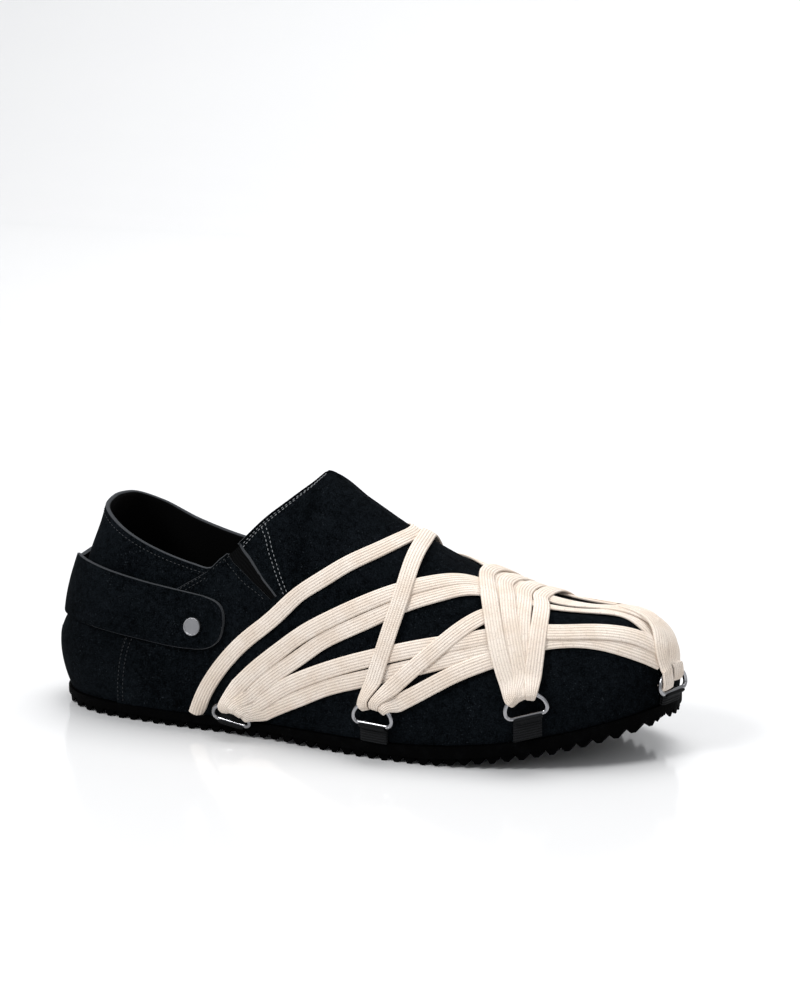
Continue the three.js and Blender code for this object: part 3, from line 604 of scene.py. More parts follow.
def rubber_finish():
    """Moulded rubber with a fine pebble and a little dust."""
    f = Finish("sole_rubber")
    pebble = f.cells(0.8)
    dust = f.noise(5, 4.0).between(0.45, 0.75)
    f.colour(f.mix(dust * 0.5, rgb(0.0002, 0.0002, 0.0003), rgb(0.0018, 0.0020, 0.0023)))
    f.rough(0.62 + f.noise(2) * 0.25)
    f.bump(pebble * 0.6 + f.noise(1.5) * 0.4, 0.12)
    return f.fixed(Specular_IOR_Level=0.025)


def elastic_finish():
    """Woven elastic with fine ribs up the gusset; its colour is darker in the hollows between the ribs as
    painted shade.
    """
    f = Finish("elastic_weave")
    u, v = f.across()
    ribs_up = (u * (2 * math.pi / 0.9)).sine() * 0.5 + 0.5
    weave = (v * (2 * math.pi / 0.7)).sine() * 0.5 + 0.5
    # Painted shade: the colour follows the ribs, darker in the hollows between them and paler on their tops.
    f.colour(f.mix(ribs_up, rgb(0.0006, 0.0006, 0.0007), rgb(0.0022, 0.0023, 0.0026)))
    f.rough(0.9)
    f.bump(ribs_up * 0.7 + weave * 0.3, 0.15)
    return f.fixed(Specular_IOR_Level=0.05)


def steel_finish(name, base, roughness, scratch):
    f = Finish(name)
    worn = f.noise(1.2, 4.0, (1, 1, 0.25))
    f.colour(f.mix(worn, base, rgb(base[0] * 0.8, base[1] * 0.8, base[2] * 0.82)))
    f.rough(roughness + worn * scratch)
    f.bump(worn, 0.02)
    return f.fixed(Metallic=1.0)


def webbing_finish():
    """Black tape with raised ribs across it; its colour is darker in the hollows between the ribs and yarns
    as painted shade.
    """
    f = Finish("ribbed_tape")
    u, v = f.across()
    rib = (v * (2 * math.pi / 1.15)).sine() * 0.5 + 0.5
    yarn = (u * (2 * math.pi / 0.8) + (v * 5.46).sine() * 0.7).sine() * 0.5 + 0.5
    # Painted shade: the colour follows the ribs and yarns, darker in the hollows between them and paler on
    # their tops.
    f.colour(f.mix(rib * 0.8 + yarn * 0.2, rgb(0.0008, 0.0009, 0.0010), rgb(0.0090, 0.0098, 0.0110)))
    f.rough(0.75)
    f.bump(rib * 0.75 + yarn * 0.25, 0.32)
    return f.fixed(Specular_IOR_Level=0.12)


def lace_finish():
    """Flat braid: ribs along it, each a row of slanted yarns, with a fine brown fleck. Its colour is
    darkened in the hollows between the ribs and between the yarns as painted shade.
    """
    f = Finish("cotton_braid")
    u, v = f.across()
    rib_pitch = 1.25
    rib = (u * (math.pi / rib_pitch)).sine().size()
    slant = (v * (2 * math.pi / 0.85) + (u * (math.pi / rib_pitch)).sine() * 2.2).sine() * 0.5 + 0.5
    fuzz = f.noise(0.35, 3.0)
    clouds = f.noise(11, 2.0)
    fleck = f.noise(0.55, 2.0, vector=f.woven(u, v * 0.5)).between(0.56, 0.70)
    # Painted shade: the colour is darkened in the hollows between the ribs and between the slanted yarns;
    # the brown fleck is the braid's own colour.
    hollow_shade = 1 - rib.between(0.05, 0.75)
    base = f.mix(clouds.between(0.3, 0.7), rgb(0.78, 0.67, 0.565), rgb(0.87, 0.78, 0.690))
    painted_shade_colour = f.mix(hollow_shade * 0.32 + (1 - slant) * 0.16, base, rgb(0.43, 0.335, 0.275))
    f.colour(f.mix(fleck * 0.65, painted_shade_colour, rgb(0.46, 0.36, 0.295)))
    f.rough(0.88)
    f.bump(rib * 0.55 + slant * 0.25 + fuzz * 0.2, 0.45)
    return f.fixed(Specular_IOR_Level=0.15, Sheen_Weight=0.04)


def thread_finish(name, colour):
    f = Finish(name)
    f.colour(f.mix(f.noise(0.5), colour, rgb(*(c * 0.6 for c in colour[:3]))))
    f.rough(0.7)
    f.bump(f.noise(0.2), 0.05)
    return f.fixed()


def footbed_finish():
    f = Finish("footbed_leather")
    f.colour(f.mix(f.noise(14), rgb(0.0010, 0.0010, 0.0011), rgb(0.0030, 0.0030, 0.0032)))
    f.rough(0.65 + f.noise(4) * 0.2)
    f.bump(f.cells(1.1), 0.12)
    return f.fixed(Specular_IOR_Level=0.12)


SUEDE = suede_finish("suede_nap", rgb(0.0002, 0.0004, 0.0006), rgb(0.0066, 0.0088, 0.0112),
                     rgb(0.034, 0.041, 0.048))
EDGE = cut_edge_finish()
LINING = lining_finish()
RUBBER = rubber_finish()
ELASTIC = elastic_finish()
SNAP_STEEL = steel_finish("satin_nickel", rgb(0.36, 0.36, 0.37), 0.30, 0.14)
RING_STEEL = steel_finish("polished_wire", rgb(0.36, 0.36, 0.37), 0.12, 0.14)
TAPE = webbing_finish()
COTTON = lace_finish()
PALE_THREAD = thread_finish("pale_thread", rgb(0.25, 0.26, 0.27))
DARK_THREAD = thread_finish("dark_thread", rgb(0.013, 0.015, 0.018))
FOOTBED = footbed_finish()

# Seams of the upper on each side, as lines of rise and along

SEAM = table([  # rear edge of the quarter, from the sole to the notch
    (0.00, 0.160),
    (0.15, 0.164),
    (0.38, 0.178),
    (0.60, 0.212),
    (0.83, 0.258),
    (1.00, 0.296),
])
# Edges of the gore above its point, and the vamp's double row of stitches in front of it
GORE_POINT = 0.47
GORE_REAR = table([
    (GORE_POINT, 0.3985),
    (0.50, 0.3905),
    (0.60, 0.3692),
    (0.70, 0.3556),
    (0.80, 0.3444),
    (0.90, 0.3325),
    (1.00, 0.3225),
])
GORE_FRONT = table([
    (GORE_POINT, 0.4042),
    (0.50, 0.3981),
    (0.60, 0.3785),
    (0.70, 0.3657),
    (0.80, 0.3561),
    (0.90, 0.3474),
    (1.00, 0.3400),
])
DOUBLE_ROW = table([
    (0.47, 0.4165),
    (0.50, 0.4120),
    (0.60, 0.3990),
    (0.70, 0.3885),
    (0.80, 0.3810),
    (0.90, 0.3735),
    (1.00, 0.3690),
])
QUARTER_STEP = 1.0              # how far the quarter's edge stands up over the counter
QUARTER_FADE = 0.03             # the step is whole this far in front of the seam, as along
RAW_EDGE_START = 0.0012         # where the quarter's raw edge rises in front of the seam, as along
RAW_EDGE_END = 0.0030
VAMP_EDGE = 0.0022              # width of the vamp's raw edge at the gore, as along


def gore_line(line, rise):
    """Along at the gore's edge. Below the gore's point the line goes straight down."""
    return line(np.maximum(rise, GORE_POINT))[..., 0]


# Soft creases: from and to as along and rise, half width and depth in millimetres
CREASES = [
    ((0.47, 0.30), (0.545, 0.52), 5.0, 0.55),
    ((0.60, 0.34), (0.640, 0.60), 6.0, 0.50),
    ((0.665, 0.20), (0.70, 0.50), 6.5, 0.45),
    ((0.38, 0.62), (0.455, 0.72), 6.0, 0.45),
    ((0.23, 0.40), (0.33, 0.30), 6.0, 0.40),
    ((0.08, 0.62), (0.17, 0.70), 7.0, 0.40),
    ((0.05, 0.30), (0.13, 0.36), 7.0, 0.40),
    ((0.84, 0.34), (0.90, 0.30), 8.0, 0.35),
]
ALONG_MM = 330                  # about how long along 1 and rise 1 are on the wall
RISE_MM = 105

# Heel against the last, in millimetres: the foot stands out and the wall behind the strap draws in
HEEL_FORM = table([
    (0.00, 2.2),
    (0.26, 2.5),
    (0.32, 1.4),
    (0.40, -0.8),
    (0.47, -1.6),
    (0.60, -1.6),
    (0.80, 0.0),
    (1.00, 0.0),
])
HEEL_FORM_END = 0.14            # where the heel's form has died away, as along
BACK_STRIP_HALF = 0.013         # strip over the back seam: along, top and thickness
BACK_STRIP_TOP = 0.28
BACK_STRIP_STEP = 0.7
BACK_STRIP_SIDE = 0.002         # way over which its sides and its top fall off
BACK_STRIP_END = 0.006


def heel_lift(along, rise):
    """How far the heel's form and its strip stand off the last, in millimetres."""
    q = np.abs(along)
    form = HEEL_FORM(rise)[..., 0] * (1 - smooth_step(0.0, HEEL_FORM_END, q))
    inside = 1 - smooth_step(BACK_STRIP_HALF - BACK_STRIP_SIDE, BACK_STRIP_HALF + BACK_STRIP_SIDE, q)
    under = 1 - smooth_step(BACK_STRIP_TOP - BACK_STRIP_END, BACK_STRIP_TOP + BACK_STRIP_END, rise)
    return form + BACK_STRIP_STEP * inside * under


def crease_depth(along, rise):
    """Depth of the troughs, with a low ridge beside each, in millimetres."""
    q = np.abs(along)
    total = np.zeros(np.shape(q))
    for k, (start, end, width, depth) in enumerate(CREASES):
        a = np.array(start) * [ALONG_MM, RISE_MM]
        b = np.array(end) * [ALONG_MM, RISE_MM]
        here = np.stack([q * ALONG_MM, rise * RISE_MM], axis=-1)
        run = b - a
        share = np.clip(((here - a) @ run) / (run @ run), 0, 1)
        away = np.linalg.norm(here - (a + share[..., None] * run), axis=-1)
        side_share = np.where(along < 0, 1.0, 0.8 - 0.1 * (k % 3))
        trough = 1.25 * np.exp(-(away / width) ** 2)
        swell = 0.5 * np.exp(-(away / (2 * width)) ** 2)
        total += depth * side_share * (trough - swell)
    return total


# Upper

COUNTER_COLUMNS = 46
QUARTER_COLUMNS = 42
GORE_COLUMNS = 5
THROAT_COLUMNS = 22
VAMP_COLUMNS = 110
OUTER_ROWS = 84
INNER_ROWS = 40
RIM_ROWS = 4
RIM_BULGE = 0.5                 # how far the raw edge of the collar is rounded
PEAK_BULGE = (-0.6, 0, 0.8)     # its direction at the peak
SOFT_RIDGE_HALF = 7             # band along the ridge that is smoothed: half width, lowest height
SOFT_RIDGE_LOW = 55
SOFT_RIDGE_START = 6            # how far in front of the peak it begins
SOFT_RIDGE_PASSES = 6
SEAM_WELD = 0.02


def column_lines(rises):
    """Along of each column at each rise, from the heel to the toe, and how far each is into the quarter."""
    seam = SEAM(rises)[:, 0]
    rear = gore_line(GORE_REAR, rises)
    front = gore_line(GORE_FRONT, rises)
    peak = np.full_like(rises, PEAK)
    toe = np.ones_like(rises)
    heel = np.zeros_like(rises)

    def between(a, b, count, first=True):
        share = np.linspace(0, 1, count + 1)[0 if first else 1:]
        return a[:, None] * (1 - share) + b[:, None] * share

    step = np.stack([seam + RAW_EDGE_START, seam + RAW_EDGE_END], axis=1)
    parts = [
        between(heel, seam, COUNTER_COLUMNS),
        step,
        between(seam + RAW_EDGE_END, rear, QUARTER_COLUMNS, first=False),
        between(rear, front, GORE_COLUMNS, first=False),
        (front + VAMP_EDGE)[:, None],
        between(front + VAMP_EDGE, peak, THROAT_COLUMNS - 1, first=False),
        between(peak, toe, VAMP_COLUMNS, first=False),
    ]
    along = np.concatenate(parts, axis=1)
    raised = np.zeros(along.shape[1])
    raised[COUNTER_COLUMNS + 1] = 0.7
    raised[COUNTER_COLUMNS + 2:] = 1.0
    return along, raised


# Places of the three finishes on the upper
SUEDE_SLOT = 0
LINING_SLOT = 1
EDGE_SLOT = 2

REAR_COLUMN = COUNTER_COLUMNS + 2 + QUARTER_COLUMNS
FRONT_COLUMN = REAR_COLUMN + GORE_COLUMNS
PEAK_COLUMN = FRONT_COLUMN + THROAT_COLUMNS


def make_upper():
    """Outer face with the quarter's step, inner face, rim and the gores' slits, as one closed wall."""
    outer_rises = np.linspace(0, 1, OUTER_ROWS + 1)
    inner_rises = np.linspace(0, 1, INNER_ROWS + 1)
    point_blocks = []
    face_blocks = []
    slot_blocks = []
    count = 0

    def add(points, faces, slot):
        nonlocal count
        point_blocks.append(points.reshape(-1, 3))
        face_blocks.append(np.asarray(faces, int).reshape(-1, 4) + count)
        slot_blocks.append(np.full(len(face_blocks[-1]), slot))
        count += points.reshape(-1, 3).shape[0]

    for side in (-1, 1):
        faces_of = {}
        for layer, rises in (("outer", outer_rises), ("inner", inner_rises)):
            along, raised = column_lines(rises)
            rise = np.broadcast_to(rises[:, None], along.shape)
            if layer == "outer":
                rear = gore_line(GORE_REAR, rises)[:, None]
                fade = 1 - smooth_step(SEAM(rises)[:, :1] + QUARTER_FADE, rear, along)
                creases = crease_depth(side * along, rise)
                lift = QUARTER_STEP * raised * fade - creases + heel_lift(along, rise)
            else:
                lift = np.full(along.shape, -float(WALL))
            points = on_upper(side * along, rise, lift)
            faces = grid_faces(*along.shape)
            low_row = faces[:, 0] // along.shape[1]
            column = faces[:, 0] % along.shape[1]
            above_point = rises[low_row] > GORE_POINT
            in_gore = (column >= REAR_COLUMN) & (column < FRONT_COLUMN) & above_point
            add(points, faces[~in_gore], SUEDE_SLOT if layer == "outer" else LINING_SLOT)
            if layer == "outer":
                raw = (column == COUNTER_COLUMNS) | ((column == FRONT_COLUMN) & above_point)
                slot_blocks[-1][raw[~in_gore]] = EDGE_SLOT
            faces_of[layer] = points
        outer = faces_of["outer"]
        inner = faces_of["inner"]
        columns = outer.shape[1]

        # Rim of the collar
        collar = np.arange(PEAK_COLUMN + 1)
        top = outer[-1, collar]
        under = inner[-1, collar]
        run = np.gradient(top, axis=0)
        depth = under - top
        bulge = unit(np.cross(run, depth))
        up = outer[-1, collar] - outer[-3, collar]
        bulge *= np.sign((bulge * up).sum(-1, keepdims=True))
        bulge[-1] = unit(np.array(PEAK_BULGE))
        angle = np.linspace(0, np.pi, RIM_ROWS + 1)[:, None, None]
        rim = top + depth * (1 - np.cos(angle)) / 2 + bulge * RIM_BULGE * np.sin(angle)
        rim_faces = grid_faces(RIM_ROWS + 1, len(collar))
        rim_column = rim_faces[:, 0] % len(collar)
        over_gore = (rim_column >= REAR_COLUMN) & (rim_column < FRONT_COLUMN)
        add(rim, rim_faces[~over_gore], EDGE_SLOT)

        # Foot, where the wall meets the sole
        strip = np.stack([outer[0], inner[0]])
        add(strip, grid_faces(2, columns), SUEDE_SLOT)

        # Slit edges
        for column in (REAR_COLUMN, FRONT_COLUMN):
            heights = outer_rises[outer_rises > GORE_POINT - 1 / OUTER_ROWS]
            face_line = outer[-len(heights):, column]
            back = [np.interp(heights, inner_rises, inner[:, column, i]) for i in range(3)]
            add(np.stack([face_line, np.stack(back, axis=-1)]), grid_faces(2, len(heights)), EDGE_SLOT)

    points = np.vstack(point_blocks)
    faces = np.vstack(face_blocks)
    slots = np.concatenate(slot_blocks)
    upper = make_object("upper_suede", points, faces, [SUEDE, LINING, EDGE], slots)
    work = bmesh.new()
    work.from_mesh(upper.data)
    bmesh.ops.remove_doubles(work, verts=work.verts, dist=SEAM_WELD * MM)
    start = (PEAK * LENGTH + SOFT_RIDGE_START + SHIFT[0]) * MM
    ridge = [v for v in work.verts if abs(v.co.y - ridge_y(v.co.x)) < SOFT_RIDGE_HALF * MM
             and v.co.z > SOFT_RIDGE_LOW * MM and v.co.x > start]
    for _ in range(SOFT_RIDGE_PASSES):
        bmesh.ops.smooth_vert(
            work, verts=ridge, factor=0.5, use_axis_x=True, use_axis_y=True, use_axis_z=True)
    bmesh.ops.recalc_face_normals(work, faces=work.faces)
    work.to_mesh(upper.data)
    work.free()
    upper.data.set_sharp_from_angle(angle=math.radians(48))
    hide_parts("upper")
    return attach(upper, "root")


def ridge_y(x):
    """Where the vamp's ridge lies across the shoe, in metres of the frame."""
    rows = np.array(RIBS)
    share = (x / MM - SHIFT[0]) / LENGTH
    return (np.interp(share, rows[:, 1], rows[:, 4]) * HALF_BALL + SHIFT[1]) * MM


GUSSET_START = GORE_POINT - 0.01
GUSSET_END = 0.985
GUSSET_TUCK = 0.0005            # how far it goes into the wall at each side, as along
GUSSET_SINK = 0.25              # below the suede's face at its edges, and as much more in the middle


def make_gussets():
    """Curved pads of elastic in the gores."""
    rises = np.linspace(GUSSET_START, GUSSET_END, 30)
    shares = np.linspace(0, 1, 9)
    for name, side in (("lateral", -1), ("medial", 1)):
        rear = gore_line(GORE_REAR, rises)[:, None] - GUSSET_TUCK
        front = gore_line(GORE_FRONT, rises)[:, None] + GUSSET_TUCK
        along = rear * (1 - shares) + front * shares
        rise = np.broadcast_to(rises[:, None], along.shape)
        sink = GUSSET_SINK + GUSSET_SINK * np.sin(np.pi * shares)
        outer = on_upper(side * along, rise, -(sink + np.zeros(along.shape)))
        inner = on_upper(side * along, rise, -(sink + GUSSET_THICKNESS + np.zeros(along.shape)))
        rows, columns = along.shape
        section = np.concatenate([outer, inner[:, ::-1]], axis=1)
        faces = grid_faces(rows, 2 * columns, wrap_columns=True)
        width = (along - along.mean(axis=1, keepdims=True)) * ALONG_MM
        height = np.broadcast_to(rises[:, None] * RISE_MM, (rows, 2 * columns))
        uv = np.stack([np.concatenate([width, width[:, ::-1]], axis=1), height], axis=-1).reshape(-1, 2)
        ends = [list(range(2 * columns)), [(rows - 1) * 2 * columns + i for i in range(2 * columns)][::-1]]
        gusset = make_object(f"gusset_{name}_elastic", section, [*faces.tolist(), *ends], [ELASTIC], uv=uv)
        turn_out(gusset)
        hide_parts(f"gusset_{name}")
        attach(gusset, "root")


# Heel strap and snaps

STRAP_STATIONS = 90
STRAP_ROWS = 12
STRAP_CROWN = 0.25              # how much the strap's face is arched
STRAP_BEVEL = 0.3               # taken off its face and its corners
STRAP_EDGE_BULGE = 0.25
LOW_CORNER = 2.3                # exponents of its round end: the lower corner is the rounder one
HIGH_CORNER = 3.2


def strap_edges(along):
    """Heights of the strap's edges and how far they stand off, with the strap's round ends."""
    size = np.abs(along)
    low, high, off_low, off_high = np.moveaxis(strap_rows(size), -1, 0)
    past = np.clip((size - (STRAP_END - STRAP_ROUND)) / STRAP_ROUND, 0, 1)
    middle = (low + high) / 2
    half = (high - low) / 2
    low_half = half * np.maximum(1 - past**LOW_CORNER, 0.0) ** (1 / LOW_CORNER)
    high_half = half * np.maximum(1 - past**HIGH_CORNER, 0.0) ** (1 / HIGH_CORNER)
    return (middle - low_half) * COLLAR_HEIGHT, (middle + high_half) * COLLAR_HEIGHT, off_low, off_high


def make_strap():
    """A band round the heel, with its raw edges in the edge's finish."""
    straight = STRAP_END - STRAP_ROUND
    ends = straight + STRAP_ROUND * np.sin(np.linspace(0, np.pi / 2, 16))[1:]
    half = np.concatenate([np.linspace(0, straight, STRAP_STATIONS // 2)[1:], ends])
    stations = np.concatenate([-half[::-1], [0], half])
    low, high, off_low, off_high = strap_edges(stations)
    back_lines = []
    front_lines = []
    for share in np.linspace(0, 1, STRAP_ROWS + 1):
        z = low + (high - low) * share
        rise = rise_at(stations, z)
        off = STRAP_CLEARANCE + off_low + (off_high - off_low) * share
        crown = STRAP_CROWN * np.sin(np.pi * share)
        back_lines.append(on_upper(stations, rise, off))
        front_lines.append(on_upper(stations, rise, off + STRAP_THICKNESS - STRAP_BEVEL + crown))
    back = np.stack(back_lines, axis=1)
    front = np.stack(front_lines, axis=1)
    from_low = unit(front[:, 1] - front[:, 0])
    front[:, 0] += from_low * STRAP_BEVEL
    front[:, -1] -= unit(front[:, -1] - front[:, -2]) * STRAP_BEVEL
    to_high = unit(front[:, -1] - front[:, -2])
    low_edge = (back[:, 0] + front[:, 0]) / 2 - from_low * STRAP_EDGE_BULGE
    high_edge = (back[:, -1] + front[:, -1]) / 2 + to_high * STRAP_EDGE_BULGE
    ring = np.concatenate([back, high_edge[:, None], front[:, ::-1], low_edge[:, None]], axis=1)
    count = ring.shape[1]
    faces = grid_faces(len(stations), count, wrap_columns=True)
    column = faces[:, 0] % count
    slots = np.isin(column, [STRAP_ROWS, STRAP_ROWS + 1, count - 2, count - 1]).astype(int)
    ends = [list(range(count)), [(len(stations) - 1) * count + i for i in range(count)][::-1]]
    strap = make_object("heel_strap_suede", ring, [*faces.tolist(), *ends], [SUEDE, EDGE],
                        [*slots.tolist(), 1, 1])
    turn_out(strap, weld=0.01)
    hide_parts("heel_strap")
    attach(strap, "root")


SNAP_SIDES = 48
SNAP_LIFT = 0.15

# Cap of a snap from under its middle round its rim to the top: shares of its radius and height
SNAP_PROFILE = [
    (0.0, -0.6), (0.93, -0.6), (0.985, -0.1), (1.0, 0.30), (0.985, 0.70), (0.94, 0.92), (0.89, 0.95),
    (0.84, 0.84), (0.81, 0.70), (0.78, 0.68), (0.60, 0.72), (0.30, 0.76), (0.0, 0.77),
]


def make_snaps():
    """Low caps with a raised rim, on the strap's two ends."""
    radius = SNAP_WIDTH / 2
    for name, side in (("lateral", -1), ("medial", 1)):
        along = np.array(side * SNAP_ALONG)
        rise = rise_at(along, SNAP_Z * COLLAR_HEIGHT)
        out = upper_normal(along, rise)
        base = on_upper(along, rise, STRAP_CLEARANCE + STRAP_THICKNESS + SNAP_LIFT)
        first = unit(np.cross(out, [0, 0, 1.0]))
        second = np.cross(out, first)
        turn = np.linspace(0, 2 * np.pi, SNAP_SIDES, endpoint=False)
        ring = np.cos(turn)[:, None] * first + np.sin(turn)[:, None] * second
        circles = [base + ring * radius * r + out * SNAP_HEIGHT * h for r, h in SNAP_PROFILE[1:-1]]
        middles = [base + out * SNAP_HEIGHT * SNAP_PROFILE[i][1] for i in (0, -1)]
        points = np.vstack([*circles, *middles])
        rows = len(circles)
        faces = grid_faces(rows, SNAP_SIDES, wrap_columns=True).tolist()
        last = (rows - 1) * SNAP_SIDES
        for i in range(SNAP_SIDES):
            j = (i + 1) % SNAP_SIDES
            faces.append([rows * SNAP_SIDES, j, i])
            faces.append([rows * SNAP_SIDES + 1, last + i, last + j])
        snap = make_object(f"snap_{name}_cap", points, faces, [SNAP_STEEL], sharp=70)
        turn_out(snap)
        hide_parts(f"snap_{name}")
        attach(snap, "root")


# D-rings and webbing

RING_LIFT = GAP + WEBBING_THICKNESS + GAP + WIRE / 2
RING_HALF = (RING_WIDTH - WIRE) / 2
ARCH_HEIGHT = RING_HEIGHT - WIRE - RING_CORNER
WIRE_SIDES = 16
WEBBING_PLAY = 0.12             # between the bar and the tape round it
BAR_SHOWS = 0.35                # the fold stays this far below the bar's middle line


def ring_axes(name):
    """Across along the bar, up the wall, out of it, and the bar's middle."""
    along, rise, drop = (np.array(v) for v in RINGS[name][:3])
    turn = math.radians(RINGS[name][3]) * (1 if along < 0 else -1)
    out = upper_normal(along, rise)
    up = unit(upper_point(along, rise + 0.03) - upper_point(along, rise))
    level = unit(np.cross(up, out))
    up = np.cross(out, level)
    bar = on_upper(along, rise, RING_LIFT) - up * drop
    across = level * math.cos(turn) + up * math.sin(turn)
    return across, np.cross(out, across), out, bar


def ring_lean(name):
    """Axes of the ring's own plane: across, lean up it and face out of it."""
    across, up, out, bar = ring_axes(name)
    tilt = math.radians(RINGS[name][4])
    lean = up * math.cos(tilt) + out * math.sin(tilt)
    return across, lean, np.cross(across, lean), bar


def arch_point(name, angle):
    """A point of the round wire and its in-plane direction away from the ring's middle."""
    across, lean, _, bar = ring_lean(name)
    u = RING_HALF * np.cos(angle)
    v = RING_CORNER + ARCH_HEIGHT * np.sin(angle)
    away = unit(np.array([np.cos(angle) * ARCH_HEIGHT, np.sin(angle) * RING_HALF]))
    return bar + across * u + lean * v, across * away[0] + lean * away[1]


def make_rings():
    """Wires bent to a D: a straight bar, two small corners and an arch."""
    flat = RING_HALF - RING_CORNER
    path = []
    for u in np.linspace(-flat, flat, 8):
        path.append((u, 0.0))
    for angle in np.linspace(-np.pi / 2, 0, 8)[1:]:
        path.append((flat + RING_CORNER * np.cos(angle), RING_CORNER * (1 + np.sin(angle))))
    for angle in np.linspace(0, np.pi, 40)[1:]:
        path.append((RING_HALF * np.cos(angle), RING_CORNER + ARCH_HEIGHT * np.sin(angle)))
    for angle in np.linspace(-np.pi, -np.pi / 2, 8)[1:-1]:
        path.append((-flat + RING_CORNER * np.cos(angle), RING_CORNER * (1 + np.sin(angle))))
    path = np.array(path)
    for name in RINGS:
        across, lean, face, bar = ring_lean(name)
        centre = bar + path[:, :1] * across + path[:, 1:] * lean
        run = unit(np.roll(centre, -1, axis=0) - np.roll(centre, 1, axis=0))
        side = unit(np.cross(run, face))
        turn = np.linspace(0, 2 * np.pi, WIRE_SIDES, endpoint=False)[None, :, None]
        points = centre[:, None] + WIRE / 2 * (side[:, None] * np.cos(turn) + face * np.sin(turn))
        faces = grid_faces(len(path), WIRE_SIDES, wrap_rows=True, wrap_columns=True)
        ring = make_object(f"ring_{name}_wire", points, faces, [RING_STEEL], sharp=80)
        turn_out(ring)
        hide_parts(f"ring_{name}")
        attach(ring, "root")


def make_webbings():
    """Tape folded over each ring's bar, its two layers flat on the wall down to the sole."""
    for name in RINGS:
        across, up, out, bar = ring_axes(name)
        along, rise = RINGS[name][:2]
        radius = WIRE / 2 + WEBBING_PLAY + WEBBING_THICKNESS / 2
        slope = float(sole_top(bar[0] + WIRE) - sole_top(bar[0] - WIRE)) / (2 * WIRE)
        tilt = WEBBING_WIDTH / 2 * abs(slope * across[0])
        foot = float(rise_at(along, float(upper_point(along, 0.0)[2]) + tilt + GAP / 2))
        down = np.linspace(rise, foot, 8)
        wall_side = [on_upper(np.array(along), np.array(t), GAP + WEBBING_THICKNESS / 2) for t in down]
        front = [on_upper(np.array(along), np.array(t), GAP + 1.55 * WEBBING_THICKNESS) for t in down[2:]]
        fold = [bar + up * min(radius * math.cos(a), -BAR_SHOWS) + out * radius * math.sin(a)
                for a in np.linspace(-1.45, 2.5, 14)]
        line = evenly(through(np.array(wall_side[1:][::-1] + fold + front), 5), 0.5)
        run = unit(np.gradient(line, axis=0))
        normal = unit(np.cross(run, across))
        widths = np.linspace(-1, 1, 15)
        thickness = WEBBING_THICKNESS / 2 * np.maximum(1 - np.abs(widths) ** 10, 0.25)
        spread = line[:, None] + across * (widths * WEBBING_WIDTH / 2)[:, None]
        upper_face = spread + normal[:, None] * thickness[:, None]
        lower_face = spread - normal[:, None] * thickness[:, None]
        section = np.concatenate([upper_face, lower_face[:, ::-1]], axis=1)
        count = section.shape[1]
        faces = grid_faces(len(line), count, wrap_columns=True).tolist()
        faces += [list(range(count)), [(len(line) - 1) * count + i for i in range(count)][::-1]]
        u = np.concatenate([widths, widths[::-1]]) * WEBBING_WIDTH / 2
        v = arc_length(line)
        uv = np.stack(np.broadcast_arrays(u[None, :], v[:, None]), axis=-1).reshape(-1, 2)
        tape = make_object(f"webbing_{name}_tape", section, faces, [TAPE], uv=uv)
        turn_out(tape)
        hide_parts(f"webbing_{name}")
        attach(tape, "root")


# Lace

LACE_LIFT = 0.35                # off the suede
LAYER = 1.55                    # from one layer of lace to the next

# Routes on the outer side: along, rise, layer. A strand's end is a ring, the angle on its round wire,
# 90 at the top and 0 to the toe, and how many strands lie under it there. At the toe it also says how
# far below the arch the strand folds. The crossings go over the ridge and come down the inner side the
# same way. The side runs are mirrored, and "inner" gives how many places the inner one keeps and the
# places that it goes on with.
CROSSINGS = [
    {"rows": [(0.287, 0.00, 0), (0.304, 0.141, 0), (0.350, 0.334, 0), (0.400, 0.390, 0), (0.454, 0.458, 0),
              (0.500, 0.585, 0), (0.545, 0.715, 0), (0.578, 0.870, 0), (0.592, 1, 0)], "bend": 0.0},
    {"rows": [(0.563, 0.232, 1.3), (0.569, 0.294, 1.3), (0.575, 0.356, 1.2), (0.5815, 0.439, 1.1),
              (0.588, 0.51, 1.1), (0.5935, 0.60, 1.1), (0.598, 0.725, 1.1), (0.606, 0.90, 1),
              (0.610, 1, 0.8)], "end": ("mid", 114, 1)},
    {"rows": [(0.746, 0.29, 1.6), (0.739, 0.361, 1.7), (0.7335, 0.457, 1.7), (0.729, 0.557, 1.7),
              (0.7245, 0.678, 1.6), (0.7195, 0.84, 1.3), (0.717, 1, 0.8)], "end": ("front", 126, 0.8)},
    {"rows": [(0.753, 0.31, 0.7), (0.7485, 0.385, 0.8), (0.744, 0.48, 0.8), (0.7405, 0.59, 0.8),
              (0.737, 0.70, 0.7), (0.734, 0.86, 0.5), (0.733, 1, 0.2)], "end": ("front", 116, 0.5)},
    {"rows": [(0.761, 0.33, 1.2), (0.7585, 0.407, 1.2), (0.755, 0.508, 1.2), (0.752, 0.62, 1.2),
              (0.752, 0.76, 1.2), (0.752, 0.90, 1.0), (0.752, 1, 0.6)], "end": ("front", 106, 0.2)},
    {"rows": [(0.765, 0.34, 0.4), (0.764, 0.42, 0.4), (0.764, 0.52, 0.4), (0.7645, 0.63, 0.4),
              (0.767, 0.76, 0.4), (0.769, 0.90, 0.3), (0.770, 1, 0.1)], "end": ("front", 97, 0)},
    {"rows": [(0.769, 0.32, 0.8), (0.768, 0.407, 0.8), (0.768, 0.513, 0.8), (0.7715, 0.633, 0.9),
              (0.780, 0.79, 1.0), (0.785, 0.90, 0.9), (0.787, 1, 0.6)], "end": ("front", 88, 0)},
    {"rows": [(0.779, 0.32, 1.3), (0.784, 0.407, 1.4), (0.790, 0.52, 1.4), (0.7997, 0.654, 1.3),
              (0.8085, 0.768, 1.2), (0.8145, 0.90, 1.0), (0.817, 1, 0.6)], "end": ("front", 67, 0.8)},
]
